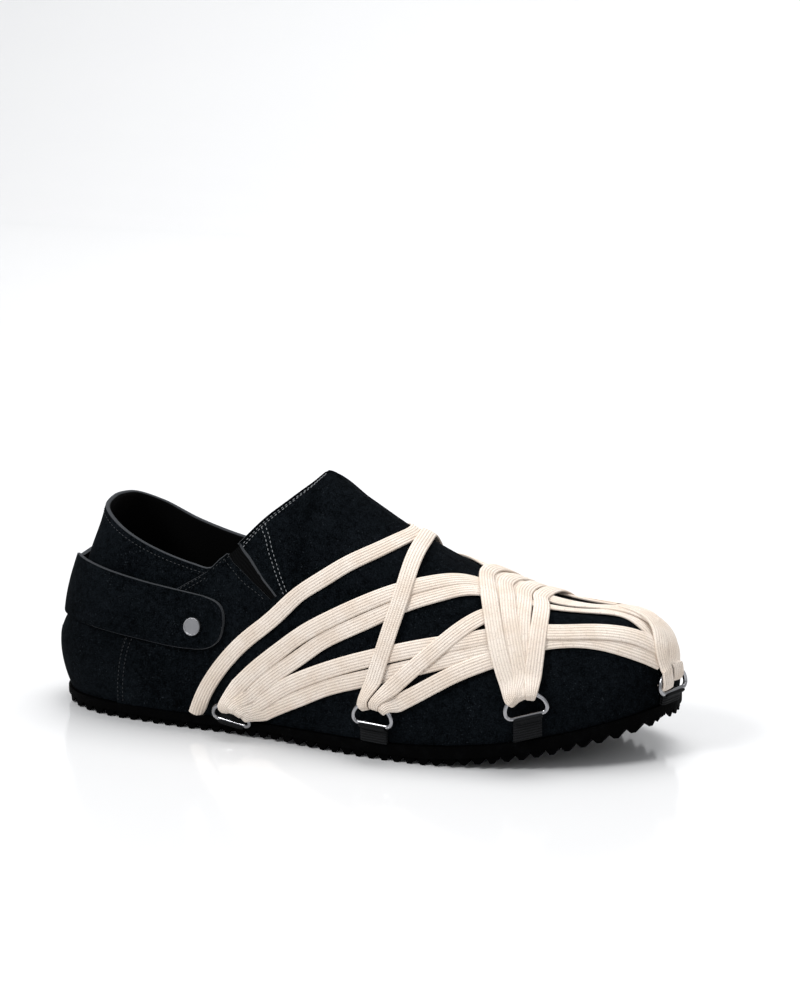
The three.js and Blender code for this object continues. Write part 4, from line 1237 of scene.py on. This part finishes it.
SIDE_RUNS = [
    {"rows": [(0.356, 0.155, 1.6), (0.3786, 0.2136, 1.2), (0.409, 0.262, 0.7), (0.4445, 0.303, 0.5),
              (0.478, 0.365, 0.45), (0.5116, 0.431, 0.45), (0.545, 0.500, 0.45), (0.580, 0.578, 0.4),
              (0.616, 0.655, 0.35), (0.646, 0.723, 0.3), (0.700, 0.847, 0.2), (0.745, 0.88, 0.2),
              (0.775, 0.88, 0.2)], "end": ("rear", 102, 1.6)},
    {"rows": [(0.372, 0.118, 1.0), (0.397, 0.174, 0.7), (0.422, 0.210, 0.3), (0.4494, 0.242, 0),
              (0.480, 0.312, 0), (0.5145, 0.373, 0), (0.549, 0.439, 0), (0.608, 0.573, 0),
              (0.6485, 0.658, 0), (0.700, 0.775, 0), (0.750, 0.81, 0), (0.800, 0.825, 0),
              (0.853, 0.835, 0), (0.8975, 0.85, 0), (0.945, 0.86, 0), (0.968, 0.785, 0), (0.968, 0.67, 0),
              (0.969, 0.53, 0), (0.975, 0.43, 0)], "end": ("rear", 82, 1.0),
     "inner": (11, [(0.750, 0.70, 0), (0.800, 0.63, 0), (0.853, 0.60, 0), (0.900, 0.62, 0.5),
                    (0.950, 0.68, 1.0), (0.985, 0.70, 1.0), (1.006, 0.62, 0.8), (1.016, 0.48, 0.9),
                    (1.022, 0.36, 1.0), (1.024, 0.27, 1.0)])},
    {"rows": [(0.380, 0.075, 0.7), (0.400, 0.108, 0.6), (0.422, 0.143, 0.4), (0.450, 0.172, 0.4),
              (0.4827, 0.215, 0.4), (0.5184, 0.261, 0.4), (0.597, 0.36, 0.4), (0.650, 0.425, 0.3),
              (0.703, 0.483, 0.3), (0.717, 0.507, 0.3), (0.760, 0.55, 0.4), (0.800, 0.57, 0.6),
              (0.836, 0.571, 0.7), (0.867, 0.58, 0.7), (0.897, 0.572, 0.7), (0.930, 0.546, 0.7),
              (0.951, 0.47, 0.7), (0.966, 0.40, 0.8)], "end": ("rear", 57, 0.5),
     "inner": (14, [(0.930, 0.56, 0.6), (0.965, 0.53, 0.6), (0.995, 0.45, 0.6), (1.012, 0.35, 0.7),
                    (1.020, 0.26, 0.8)])},
    {"rows": [(0.392, 0.045, 0.2), (0.419, 0.081, 0), (0.450, 0.112, 0), (0.4885, 0.168, 0),
              (0.519, 0.20, 0), (0.560, 0.245, 0), (0.610, 0.305, 0), (0.654, 0.359, 0), (0.681, 0.394, 0),
              (0.717, 0.44, 0), (0.760, 0.475, 0), (0.800, 0.515, 0), (0.840, 0.535, 0), (0.880, 0.510, 0),
              (0.9025, 0.470, 0), (0.926, 0.415, 0), (0.945, 0.365, 0.2), (0.958, 0.31, 0.4)],
     "end": ("rear", 32, 0),
     "inner": (14, [(0.905, 0.485, 0), (0.940, 0.445, 0), (0.975, 0.385, 0), (1.002, 0.31, 0.2),
                    (1.014, 0.25, 0.4)])},
    {"rows": [(0.590, 0.225, 1.0), (0.604, 0.268, 0.9), (0.621, 0.319, 0.9), (0.642, 0.382, 0.9),
              (0.6664, 0.464, 0.9), (0.689, 0.537, 0.9), (0.7085, 0.598, 0.8), (0.735, 0.66, 0.6),
              (0.770, 0.70, 0.3)], "end": ("mid", 81, 0.5)},
    {"rows": [(0.596, 0.165, 0.5), (0.616, 0.200, 0.5), (0.650, 0.268, 0.5), (0.678, 0.323, 0.5),
              (0.708, 0.369, 0.6), (0.735, 0.410, 0.5), (0.770, 0.46, 0.3)], "end": ("mid", 52, 0)},
]
TOE_WRAPS = [
    {"rows": [(0.960, 0.285, 1.7), (0.953, 0.335, 1.8), (0.957, 0.39, 1.8), (0.972, 0.48, 1.7),
              (0.986, 0.60, 1.6), (0.994, 0.73, 1.4), (0.993, 0.90, 1.2), (0.985, 1.05, 0.9),
              (0.967, 1.18, 0.4), (0.948, 1.30, 0.0)], "end": ("toe", 130, 0.6, 4.0)},
    {"rows": [(0.740, 1.05, 0.1), (0.800, 1.065, 0.1), (0.850, 1.065, 0.1), (0.900, 1.05, 0.2),
              (0.940, 1.01, 0.4), (0.968, 0.94, 0.7), (0.984, 0.84, 0.9), (0.990, 0.72, 0.9),
              (0.990, 0.62, 0.9)]},
    {"rows": [(0.977, 0.285, 1.1), (0.977, 0.330, 1.1), (0.984, 0.39, 1.2), (0.996, 0.48, 1.2),
              (1.006, 0.60, 1.1), (1.010, 0.72, 1.0), (1.012, 0.82, 0.8)], "end": ("toe", 75, 0.1, 3.0)},
]


def slide(along, rise, side, distance):
    """Shares reached from a place by a short way over the face."""
    step = 0.01
    round_edge = (upper_point(along + step, rise) - upper_point(along - step, rise)) / (2 * step)
    up = (upper_point(along, rise + step) - upper_point(along, rise - step)) / (2 * step)
    goal = side * distance
    aa = (round_edge * round_edge).sum(-1)
    ab = (round_edge * up).sum(-1)
    bb = (up * up).sum(-1)
    ga = (goal * round_edge).sum(-1)
    gb = (goal * up).sum(-1)
    scale = aa * bb - ab * ab
    move_a = (ga * bb - gb * ab) / scale
    move_b = (gb * aa - ga * ab) / scale
    start = upper_point(along, rise)
    for _ in range(3):
        reached = np.linalg.norm(upper_point(along + move_a, rise + move_b) - start, axis=-1)
        fit = np.abs(distance) / np.maximum(reached, 1e-6)
        move_a = move_a * fit
        move_b = move_b * fit
    return along + move_a, rise + move_b


ROUTE_STEP = 3
ROUTE_SMOOTHING = 7


def surface_run(rows):
    """Left edge, middle, right edge and normal of a strand on the upper, about every ROUTE_STEP."""
    route = through(np.array(rows, float), 24)
    here = upper_point(route[:, 0], route[:, 1])
    length = arc_length(here)
    goal = np.linspace(0, length[-1], max(3, round(length[-1] / ROUTE_STEP)))
    along, rise, layer = (np.interp(goal, length, column) for column in route.T)
    spot = upper_point(along, rise)
    run = unit(np.gradient(spot, axis=0))
    normal = upper_normal(along, rise)
    side = unit(np.cross(normal, run))
    lift = LACE_LIFT + LACE_THICKNESS / 2 + layer * LAYER
    edges = []
    for sign in (1, -1):
        a, t = slide(along, rise, side, sign * LACE_WIDTH / 2)
        edges.append(on_upper(a, t, lift))
    middle = on_upper(along, rise, lift)
    path = np.stack([edges[0], middle, edges[1], normal], axis=1)
    for _ in range(ROUTE_SMOOTHING):
        path[1:-1] = (path[:-2] + 2 * path[1:-1] + path[2:]) / 4
    return path


WRAP_PLAY = 0.15                # between the wire and the lace round it
WRAP_LAYER = 0.75               # how much further out a strand goes for one under it
WRAP_SPREAD = 0.27              # from a strand's middle to its edge, in radians round the arch
WRAP_TURNS = (180, 150, 110, 75, 40, 5)
TOE_HALF = 3.5                  # half the width of a strand at the toe ring


def ring_wrap(ring, side, angle, under, reach=0):
    """The same for the strand's way over a ring's wire, round it and back under itself.

    At the toe ring the strand folds on a straight line, reach below the arch, and is half as wide
    where it is hidden.
    """
    name = "toe" if ring == "toe" else f"{ring}_{'lateral' if side < 0 else 'medial'}"
    start = math.radians(angle if side < 0 else 180 - angle)
    _, lean, face, _ = ring_lean(name)
    radius = WIRE / 2 + WRAP_PLAY + 0.8 * LACE_THICKNESS / 2 + under * WRAP_LAYER
    turns = [(degrees, reach) for degrees in WRAP_TURNS]
    turns += [(0, 0), (0, -2)] if ring == "toe" else [(-30, 0)]
    wire, middle_away = arch_point(name, start)
    result = []
    for degrees, inset in turns:
        turn = math.radians(degrees)
        spots = []
        for share in (1, 0, -1):
            if ring == "toe":
                half = TOE_HALF if degrees < 90 else TOE_HALF / 2
                spot, away = wire + np.cross(face, lean) * share * half, lean
            else:
                spot, away = arch_point(name, start + share * WRAP_SPREAD)
            spots.append(spot - away * inset + radius * (face * math.cos(turn) - away * math.sin(turn)))
        normal = face * math.cos(turn) - (lean if ring == "toe" else middle_away) * math.sin(turn)
        result.append([*spots, normal])
    return np.array(result)


CROSS_BEND = 0.016              # how far the crossings lean back past the ridge, as along
BEND_SHARES = table([           # share of it at each rise of the inner side
    (0.30, 0.0),
    (0.60, 0.8),
    (0.75, 1.0),
    (0.90, 0.6),
    (1.00, 0.0),
])


def strand_path(strand, side, over):
    """All places of one strand: left edge, middle, right edge, normal."""
    rows = strand["rows"]
    if side > 0 and "inner" in strand:
        kept, inner = strand["inner"]
        rows = rows[:kept] + inner
    rows = [(side * a, t, layer) for a, t, layer in rows]
    if over:
        bend = side * strand.get("bend", CROSS_BEND)
        rows += [(a - bend * float(BEND_SHARES(np.array(t))[0]), 2 - t, layer)
                 for a, t, layer in rows[-2::-1]]
    path = surface_run(rows)
    if "end" in strand:
        start = ring_wrap(strand["end"][0], side, *strand["end"][1:])
        path = np.concatenate([start, path])
        if over:
            other = ring_wrap(strand["end"][0], -side, *strand["end"][1:])
            path = np.concatenate([path, other[::-1, [2, 1, 0, 3]]])
    return path


STRAND_STEP = 1.8
STRAND_MIN_STEP = 0.4           # places closer than this are left out
STRAND_PHASE = 1.7              # from one strand to the next, so that their waves and yarns differ
WAVE = 0.05                     # how far a strand waves up and down, and over what length
WAVE_LENGTH = 9
BRAID_SHARES = np.array([-1, -0.96, -0.84, -0.6, -0.3, 0, 0.3, 0.6, 0.84, 0.96, 1])


def strand_mesh(path, phase):
    """Points, faces and map of one flat braid."""
    flat = path.reshape(len(path), 12)
    middle = arc_length(path[:, 1])
    keep = np.concatenate([[True], np.diff(middle) > STRAND_MIN_STEP])
    fine = through(flat[keep], 6)
    length = arc_length(fine[:, 3:6])
    goal = np.linspace(0, length[-1], max(4, round(length[-1] / STRAND_STEP)))
    fine = np.stack([np.interp(goal, length, column) for column in fine.T], axis=1).reshape(-1, 4, 3)
    left, centre, right = fine[:, 0], fine[:, 1], fine[:, 2]
    e = BRAID_SHARES[None, :, None]
    spread = (centre[:, None] + e * ((left - right) / 2)[:, None]
              + e**2 * ((left + right) / 2 - centre)[:, None])
    run = unit(np.gradient(centre, axis=0))
    side = unit(left - right)
    normal = unit(np.cross(run, side))
    normal *= np.sign((normal * fine[:, 3]).sum(-1, keepdims=True))
    half = LACE_THICKNESS / 2 * np.maximum(1 - np.abs(BRAID_SHARES) ** 4, 0.0) ** 0.5
    wave = WAVE * np.sin(goal / WAVE_LENGTH + phase)[:, None]
    top = spread + normal[:, None] * (half + wave)[..., None]
    bottom = spread - normal[:, None] * (half - wave)[..., None]
    section = np.concatenate([top, bottom[:, -2:0:-1]], axis=1)
    count = section.shape[1]
    rows = len(goal)
    faces = grid_faces(rows, count, wrap_columns=True).tolist()
    faces += [list(range(count)), [(rows - 1) * count + i for i in range(count)][::-1]]
    across = np.concatenate([BRAID_SHARES, BRAID_SHARES[-2:0:-1]]) * LACE_WIDTH / 2 + phase * 50
    uv = np.stack(np.broadcast_arrays(across[None, :], goal[:, None] + phase * 7), axis=-1).reshape(-1, 2)
    return section.reshape(-1, 3), faces, uv


def make_lace():
    """All strands of the lace, as one piece."""
    strands = []
    for strand in CROSSINGS:
        strands.append(strand_path(strand, -1, over=True))
    for strand in SIDE_RUNS:
        strands.append(strand_path(strand, -1, over=False))
        strands.append(strand_path(strand, 1, over=False))
    for strand in TOE_WRAPS:
        strands.append(strand_path(strand, -1, over=False))
    points = []
    faces = []
    maps = []
    for i, path in enumerate(strands):
        start = sum(len(block) for block in points)
        strand_points, strand_faces, uv = strand_mesh(path, i * STRAND_PHASE)
        points.append(strand_points)
        faces += [[start + k for k in face] for face in strand_faces]
        maps.append(uv)
    lace = make_object("lace_braid", np.vstack(points), faces, [COTTON], uv=np.vstack(maps), sharp=60)
    turn_out(lace)
    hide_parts("lace_1")
    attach(lace, "root")


# Sole and insole

PLAN_STEPS = 120
HEEL_REACH = 2.0                # how much further back the sole goes than its outline
HEEL_REACH_END = 45             # and how far from the heel that has died away
EDGE_LENGTH_OUTER = float(arc_length(EDGE_POINTS[EDGE_KEYS <= 0])[-1])
END_NOTCH_SPANS = ((-0.05, 0.05), (0.955, 1.045))
END_NOTCH_FLARE = 1.6           # its width and depth, as shares of the tread's
END_NOTCH_RISE = 0.9


def plan_line(inset, steps):
    """The sole's outline, inset millimetres in."""
    along = np.linspace(-1, 1, 2 * steps, endpoint=False)
    return edge(along) - edge_out(along) * inset


def prism_object(name, outline, low, high, upright):
    """An upright prism of a plan outline, or one across the shoe of a side view."""
    count = len(outline)
    if upright:
        ends = [np.column_stack([outline, np.full(count, z)]) for z in (low, high)]
    else:
        ends = [np.column_stack([outline[:, 0], np.full(count, y), outline[:, 1]]) for y in (low, high)]
    faces = [[i, (i + 1) % count, count + (i + 1) % count, count + i] for i in range(count)]
    faces += [list(range(count))[::-1], list(range(count, 2 * count))]
    return turn_out(make_object(name, np.vstack(ends), faces, []))


def cut(base, tool, operation):
    """A boolean of two meshes. The tool is used up."""
    modifier = base.modifiers.new("cut", "BOOLEAN")
    modifier.operation = operation
    modifier.solver = "EXACT"
    modifier.object = tool
    depsgraph = bpy.context.evaluated_depsgraph_get()
    mesh = bpy.data.meshes.new_from_object(base.evaluated_get(depsgraph))
    base.modifiers.clear()
    base.data = mesh
    bpy.data.objects.remove(tool)
    return base


def make_outsole():
    """Smooth band over cross teeth, with notches that carry the teeth round the heel and the toe."""
    margin = TOOTH_PITCH
    xs = np.linspace(-margin, LENGTH + margin, 100)
    band_side = np.vstack([
        np.column_stack([xs, sole_bottom(xs) + TOOTH_DEPTH]),
        np.column_stack([xs, sole_top(xs)])[::-1],
    ])
    band = cut(prism_object("outsole_rubber", plan_line(0, PLAN_STEPS), -50, 200, True),
               prism_object("band_side", band_side, -100, 100, False), "INTERSECT")
    count = math.ceil((LENGTH + 2 * margin) / TOOTH_PITCH)
    teeth = []
    for i in range(count):
        x = -margin + i * TOOTH_PITCH
        level = float(sole_bottom(x + TOOTH_FLAT / 2))
        root = x + (TOOTH_PITCH + TOOTH_FLAT) / 2
        teeth += [(x, level), (x + TOOTH_FLAT, level), (root, float(sole_bottom(root)) + TOOTH_DEPTH)]
    lid = np.column_stack([xs, sole_bottom(xs) + 1.25 * TOOTH_DEPTH])
    lid = lid[lid[:, 0] < -margin + count * TOOTH_PITCH]
    tread = cut(prism_object("tread", plan_line(TOOTH_INSET, PLAN_STEPS), -50, 200, True),
                prism_object("tread_side", np.vstack([teeth, lid[::-1]]), -100, 100, False), "INTERSECT")
    sole = cut(band, tread, "UNION")
    for notch in end_notches():
        sole = cut(sole, notch, "DIFFERENCE")
    coordinates = np.zeros(3 * len(sole.data.vertices), np.float32)
    sole.data.vertices.foreach_get("co", coordinates)
    coordinates = coordinates.reshape(-1, 3)
    from_heel = coordinates[:, 0] / MM - SHIFT[0]
    coordinates[:, 0] -= HEEL_REACH * MM * (1 - smooth_step(0, HEEL_REACH_END, from_heel))
    sole.data.vertices.foreach_set("co", coordinates.ravel())
    sole.data.materials.clear()
    sole.data.materials.append(RUBBER)
    sole.data.shade_smooth()
    sole.data.set_sharp_from_angle(angle=math.radians(30))
    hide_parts("outsole")
    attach(sole, "root")


def end_notches():
    """Wedges set round the heel and the toe."""
    for start, end in END_NOTCH_SPANS:
        count = round((end - start) * EDGE_LENGTH_OUTER / TOOTH_PITCH) + 1
        for along in np.linspace(start, end, count):
            out = np.append(edge_out(along), 0)
            tip = np.append(edge(along), 0) + out
            across = np.array([-out[1], out[0], 0])
            base = float(sole_bottom(tip[0]))
            half = (TOOTH_PITCH - TOOTH_FLAT) / 2 * END_NOTCH_FLARE
            section = [(-half, base - 2), (half, base - 2), (0, base + TOOTH_DEPTH * END_NOTCH_RISE)]
            points = [tip + out * reach + across * u + np.array([0, 0, v])
                      for reach in (-END_NOTCH_LENGTH, 2) for u, v in section]
            faces = [[0, 1, 2], [5, 4, 3], [0, 3, 4, 1], [1, 4, 5, 2], [2, 5, 3, 0]]
            yield turn_out(make_object("notch", np.array(points), faces, []))


# Edge of the footbed, from under it over the roll: how far in, share of INSOLE_THICKNESS
INSOLE_ROLL = [
    (1.2, 0.0125),
    (0.1, 0.125),
    (0.0, 0.40),
    (0.25, 0.725),
    (0.9, 0.925),
    (2.2, 1.00),
    (5.0, 0.975),
    (10.0, 0.90),
    (18.0, 0.8375),
]
INSOLE_STEPS = 80
SPINE_START = 34                # the footbed's middle line, from the heel and from the toe
SPINE_END = 40
SPINE_X = (30, 150, 250)        # places of it across the shoe
SPINE_Y = (0, -2, 7)
SPINE_SINK = 0.1


def make_insole():
    """A padded footbed, level in the middle with a rolled edge."""
    along = np.linspace(-1, 1, 2 * INSOLE_STEPS, endpoint=False)
    margin = LEDGE + WALL + 2 * GAP
    rings = []
    for inset, share in INSOLE_ROLL:
        plan = edge(along) - edge_out(along) * (margin + inset)
        z = sole_top(plan[:, 0]) + GAP + INSOLE_THICKNESS * share
        rings.append(np.column_stack([plan, z]))
    last = rings[-1]
    level = GAP + INSOLE_THICKNESS * INSOLE_ROLL[-1][1]
    spine_x = np.clip(last[:, 0], SPINE_START, LENGTH - SPINE_END)
    spine = np.column_stack([spine_x, np.interp(spine_x, SPINE_X, SPINE_Y), np.zeros(len(last))])
    for share in (0.35, 0.7, 1.0):
        plan = last * (1 - share) + spine * share
        plan[:, 2] = sole_top(plan[:, 0]) + level - SPINE_SINK * share
        rings.append(plan)
    points = np.vstack(rings)
    count = len(along)
    faces = grid_faces(len(rings), count, wrap_columns=True).tolist()
    faces.append(list(range(count)))
    insole = make_object("insole_footbed", points, faces, [FOOTBED])
    turn_out(insole, weld=0.3)
    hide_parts("insole")
    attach(insole, "root")


# Stitches

STITCH_PITCH = 2.0
STITCH_LENGTH = 1.2
STITCH_WIDTH = 0.36
STITCH_LIFT = 0.12              # of its middle off the suede
FIRST_ROW = 2.6                 # rows below the collar's edge
SECOND_ROW = 5.2
DOUBLE_ROW_HALF = 0.0022        # half the way between the two rows of the vamp, as along
GORE_ROW = 0.006                # rows behind the gore and in front of the seam, as along
SEAM_ROWS = (0.004, 0.012)


def stitch_tree():
    """Stitches laid end to end along the edges of a mesh."""
    tree = bpy.data.node_groups.new("stitch_rows", "GeometryNodeTree")
    socket = tree.interface.new_socket
    socket("Rows", in_out="INPUT", socket_type="NodeSocketGeometry")
    names = {
        "pitch": socket("Pitch", in_out="INPUT", socket_type="NodeSocketFloat").identifier,
        "length": socket("Length", in_out="INPUT", socket_type="NodeSocketFloat").identifier,
        "width": socket("Width", in_out="INPUT", socket_type="NodeSocketFloat").identifier,
        "thread": socket("Thread", in_out="INPUT", socket_type="NodeSocketMaterial").identifier,
    }
    socket("Stitches", in_out="OUTPUT", socket_type="NodeSocketGeometry")

    def node(kind, settings=None, links=None):
        made = tree.nodes.new(kind)
        for key, value in (settings or {}).items():
            setattr(made, key, value)
        for key, value in (links or {}).items():
            if isinstance(value, bpy.types.NodeSocket):
                tree.links.new(value, made.inputs[key])
            else:
                made.inputs[key].default_value = value
        return made

    given = node("NodeGroupInput").outputs
    curve = node("GeometryNodeMeshToCurve", {}, {"Mesh": given["Rows"]})
    spaced = node("GeometryNodeResampleCurve", {"mode": "LENGTH"}, {
        "Curve": curve.outputs[0], "Length": given["Pitch"]})
    tangent = node("GeometryNodeInputTangent")
    turned = node("FunctionNodeAlignRotationToVector", {"axis": "X"}, {"Vector": tangent.outputs[0]})
    ball = node("GeometryNodeMeshUVSphere", {}, {"Segments": 8, "Rings": 6, "Radius": 0.5})
    size = node("ShaderNodeCombineXYZ", {}, {0: given["Length"], 1: given["Width"], 2: given["Width"]})
    shaped = node("GeometryNodeTransform", {}, {"Geometry": ball.outputs[0], "Scale": size.outputs[0]})
    laid = node("GeometryNodeInstanceOnPoints", {}, {
        "Points": spaced.outputs[0], "Instance": shaped.outputs[0], "Rotation": turned.outputs[0]})
    solid = node("GeometryNodeRealizeInstances", {}, {"Geometry": laid.outputs[0]})
    smooth = node("GeometryNodeSetShadeSmooth", {}, {"Geometry": solid.outputs[0]})
    dyed = node("GeometryNodeSetMaterial", {}, {"Geometry": smooth.outputs[0], "Material": given["Thread"]})
    node("NodeGroupOutput", {}, {0: dyed.outputs[0]})
    return tree, names


def quarter_lift(along, rise):
    """How far the suede's face stands off the last at a place, in millimetres."""
    q = np.abs(along)
    seam = SEAM(rise)[..., 0]
    rear = gore_line(GORE_REAR, rise)
    raised = (q > seam) * QUARTER_STEP * (1 - smooth_step(seam + QUARTER_FADE, rear, q))
    return raised - crease_depth(along, rise) + heel_lift(along, rise)


def collar_row(start, end, drop):
    """A row under the collar's edge, drop millimetres down."""
    along = np.linspace(start, end, 60)
    wall = upper_point(along[:, None], np.linspace(0, 1, 40))
    height = np.linalg.norm(np.diff(wall, axis=1), axis=2).sum(1)
    return along, 1 - drop / height


def stitch_rows():
    """The rows in pale thread and in dark thread, each as a line of along and rise."""
    pale = []
    dark = []
    gore_top = float(gore_line(GORE_FRONT, np.array(1.0)))
    for side in (-1, 1):
        for drop in (FIRST_ROW, SECOND_ROW):
            along, rise = collar_row(gore_top + 0.008, PEAK - 0.004, drop)
            pale.append((side * along, rise))
        for offset in (-DOUBLE_ROW_HALF, DOUBLE_ROW_HALF):
            rise = np.linspace(GORE_POINT, 0.93, 40)
            pale.append((side * (DOUBLE_ROW(rise)[:, 0] + offset), rise))
        rise = np.linspace(0.50, 0.95, 30)
        dark.append((side * (gore_line(GORE_REAR, rise) - GORE_ROW), rise))
        for start, end in ((0.0, NOTCH - 0.006), (NOTCH + 0.012, 0.325)):
            along, rise = collar_row(start, end, FIRST_ROW)
            dark.append((side * along, rise))
        for offset in SEAM_ROWS:
            rise = np.linspace(0.02, 0.92, 60)
            dark.append((side * (SEAM(rise)[:, 0] + offset), rise))
    return pale, dark


def make_stitches():
    """Two pieces, one for each thread."""
    tree, names = stitch_tree()
    pale, dark = stitch_rows()
    for name, rows, thread in (("stitches_pale", pale, PALE_THREAD), ("stitches_dark", dark, DARK_THREAD)):
        points = []
        edges = []
        for along, rise in rows:
            first = sum(len(p) for p in points)
            line = on_upper(along, rise, quarter_lift(along, rise) + STITCH_LIFT)
            points.append(line)
            edges += [(first + i, first + i + 1) for i in range(len(line) - 1)]
        mesh = bpy.data.meshes.new(name)
        mesh.from_pydata(place(np.vstack(points)).tolist(), edges, [])
        rows_object = bpy.data.objects.new(name, mesh)
        bpy.context.scene.collection.objects.link(rows_object)
        modifier = rows_object.modifiers.new("stitches", "NODES")
        modifier.node_group = tree
        modifier[names["pitch"]] = STITCH_PITCH * MM
        modifier[names["length"]] = STITCH_LENGTH * MM
        modifier[names["width"]] = STITCH_WIDTH * MM
        modifier[names["thread"]] = thread
        depsgraph = bpy.context.evaluated_depsgraph_get()
        made = bpy.data.meshes.new_from_object(rows_object.evaluated_get(depsgraph))
        rows_object.modifiers.clear()
        rows_object.data = made
        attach(rows_object, "root")


# Camera, light and floor

CAMERA_AZIMUTH = 21
CAMERA_ELEVATION = 15.5
CAMERA_DISTANCE = 1300
TARGET = (145, 0, 50)
SCALE_AT_TARGET = 2.25          # pixels to a millimetre
PHOTO_WIDTH = 800
PHOTO_HEIGHT = 1000
TARGET_PIXEL = (371, 615)
SENSOR_HEIGHT = 36

# Floor in metres: half width, near edge, where it begins to sweep up, the sweep's radius, top
FLOOR_HALF = 6.0
FLOOR_NEAR = -3.0
SWEEP_START = 1.4
SWEEP_RADIUS = 1.0
BACKDROP_TOP = 4.5


def make_camera():
    """The photo's camera: it sees TARGET at TARGET_PIXEL and keeps its horizon level."""
    azimuth = math.radians(CAMERA_AZIMUTH)
    elevation = math.radians(CAMERA_ELEVATION)
    back = np.array([
        math.sin(azimuth) * math.cos(elevation),
        -math.cos(azimuth) * math.cos(elevation),
        math.sin(elevation),
    ])
    right = np.array([math.cos(azimuth), math.sin(azimuth), 0])
    up = np.cross(back, right)
    focal = SCALE_AT_TARGET * CAMERA_DISTANCE
    eye = np.array(TARGET) + back * CAMERA_DISTANCE
    sideways = (PHOTO_WIDTH / 2 - TARGET_PIXEL[0]) / focal
    upward = (TARGET_PIXEL[1] - PHOTO_HEIGHT / 2) / focal
    forward = unit(-back + right * sideways + up * upward)
    level = unit(np.cross(forward, [0, 0, 1.0]))
    top = np.cross(level, forward)
    camera = bpy.data.objects.new("camera", bpy.data.cameras.new("camera"))
    bpy.context.scene.collection.objects.link(camera)
    axes = Matrix((level, top, -forward)).transposed().to_4x4()
    camera.matrix_world = Matrix.Translation(Vector(place(eye)[0])) @ axes
    camera.data.sensor_fit = "VERTICAL"
    camera.data.sensor_height = SENSOR_HEIGHT
    camera.data.lens = SENSOR_HEIGHT * focal / PHOTO_HEIGHT
    camera.data.clip_start = 0.05
    camera.data.clip_end = 50
    bpy.context.scene.camera = camera


def add_area(name, location, size, power, aim=(0, 0, 0.05)):
    """A rectangular light aimed at a place, all in metres and watts."""
    data = bpy.data.lights.new(name, "AREA")
    data.shape = "RECTANGLE"
    data.size, data.size_y = size
    data.energy = power
    light = bpy.data.objects.new(name, data)
    light.location = location
    light.rotation_euler = (Vector(aim) - Vector(location)).to_track_quat("-Z", "Y").to_euler()
    bpy.context.scene.collection.objects.link(light)


def make_stage():
    """A floor that sweeps up behind the shoe."""
    turn = np.linspace(0, np.pi / 2, 16)[1:]
    sweep_end = SWEEP_START + SWEEP_RADIUS
    depth = [FLOOR_NEAR, SWEEP_START, *(SWEEP_START + SWEEP_RADIUS * np.sin(turn)), sweep_end]
    height = [0, 0, *(SWEEP_RADIUS - SWEEP_RADIUS * np.cos(turn)), BACKDROP_TOP]
    points = np.array([[(x, y, z) for x in (-FLOOR_HALF, FLOOR_HALF)] for y, z in zip(depth, height)])
    mesh = bpy.data.meshes.new("floor")
    mesh.from_pydata(points.reshape(-1, 3).tolist(), [], grid_faces(len(depth), 2).tolist())
    mesh.shade_smooth()
    floor = bpy.data.objects.new("floor", mesh)
    bpy.context.scene.collection.objects.link(floor)
    f = Finish("white_floor")
    f.colour(f.mix(f.noise(400), rgb(0.69, 0.69, 0.695), rgb(0.71, 0.71, 0.71)))
    f.rough(0.13)
    mesh.materials.append(f.fixed(Specular_IOR_Level=0.4))
    world = bpy.data.worlds.new("studio")
    bpy.context.scene.world = world
    world.use_nodes = True
    world.node_tree.nodes["Background"].inputs[0].default_value = rgb(0.95, 0.97, 1.0)
    world.node_tree.nodes["Background"].inputs[1].default_value = 0.52
    add_area("key", (-0.9, -1.2, 1.5), (0.7, 0.6), 26)
    add_area("fill", (1.6, -1.0, 1.0), (1.0, 1.0), 3)
    add_area("top", (0.1, 0.5, 1.9), (1.6, 1.2), 34)
    add_area("backdrop", (0.0, 1.0, 1.6), (3.0, 0.8), 23, aim=(0, 2.4, 0.9))


bpy.context.scene.view_settings.view_transform = "Standard"
make_camera()
make_stage()
make_upper()
make_gussets()
make_strap()
make_snaps()
make_rings()
make_webbings()
make_lace()
make_outsole()
make_insole()
make_stitches()
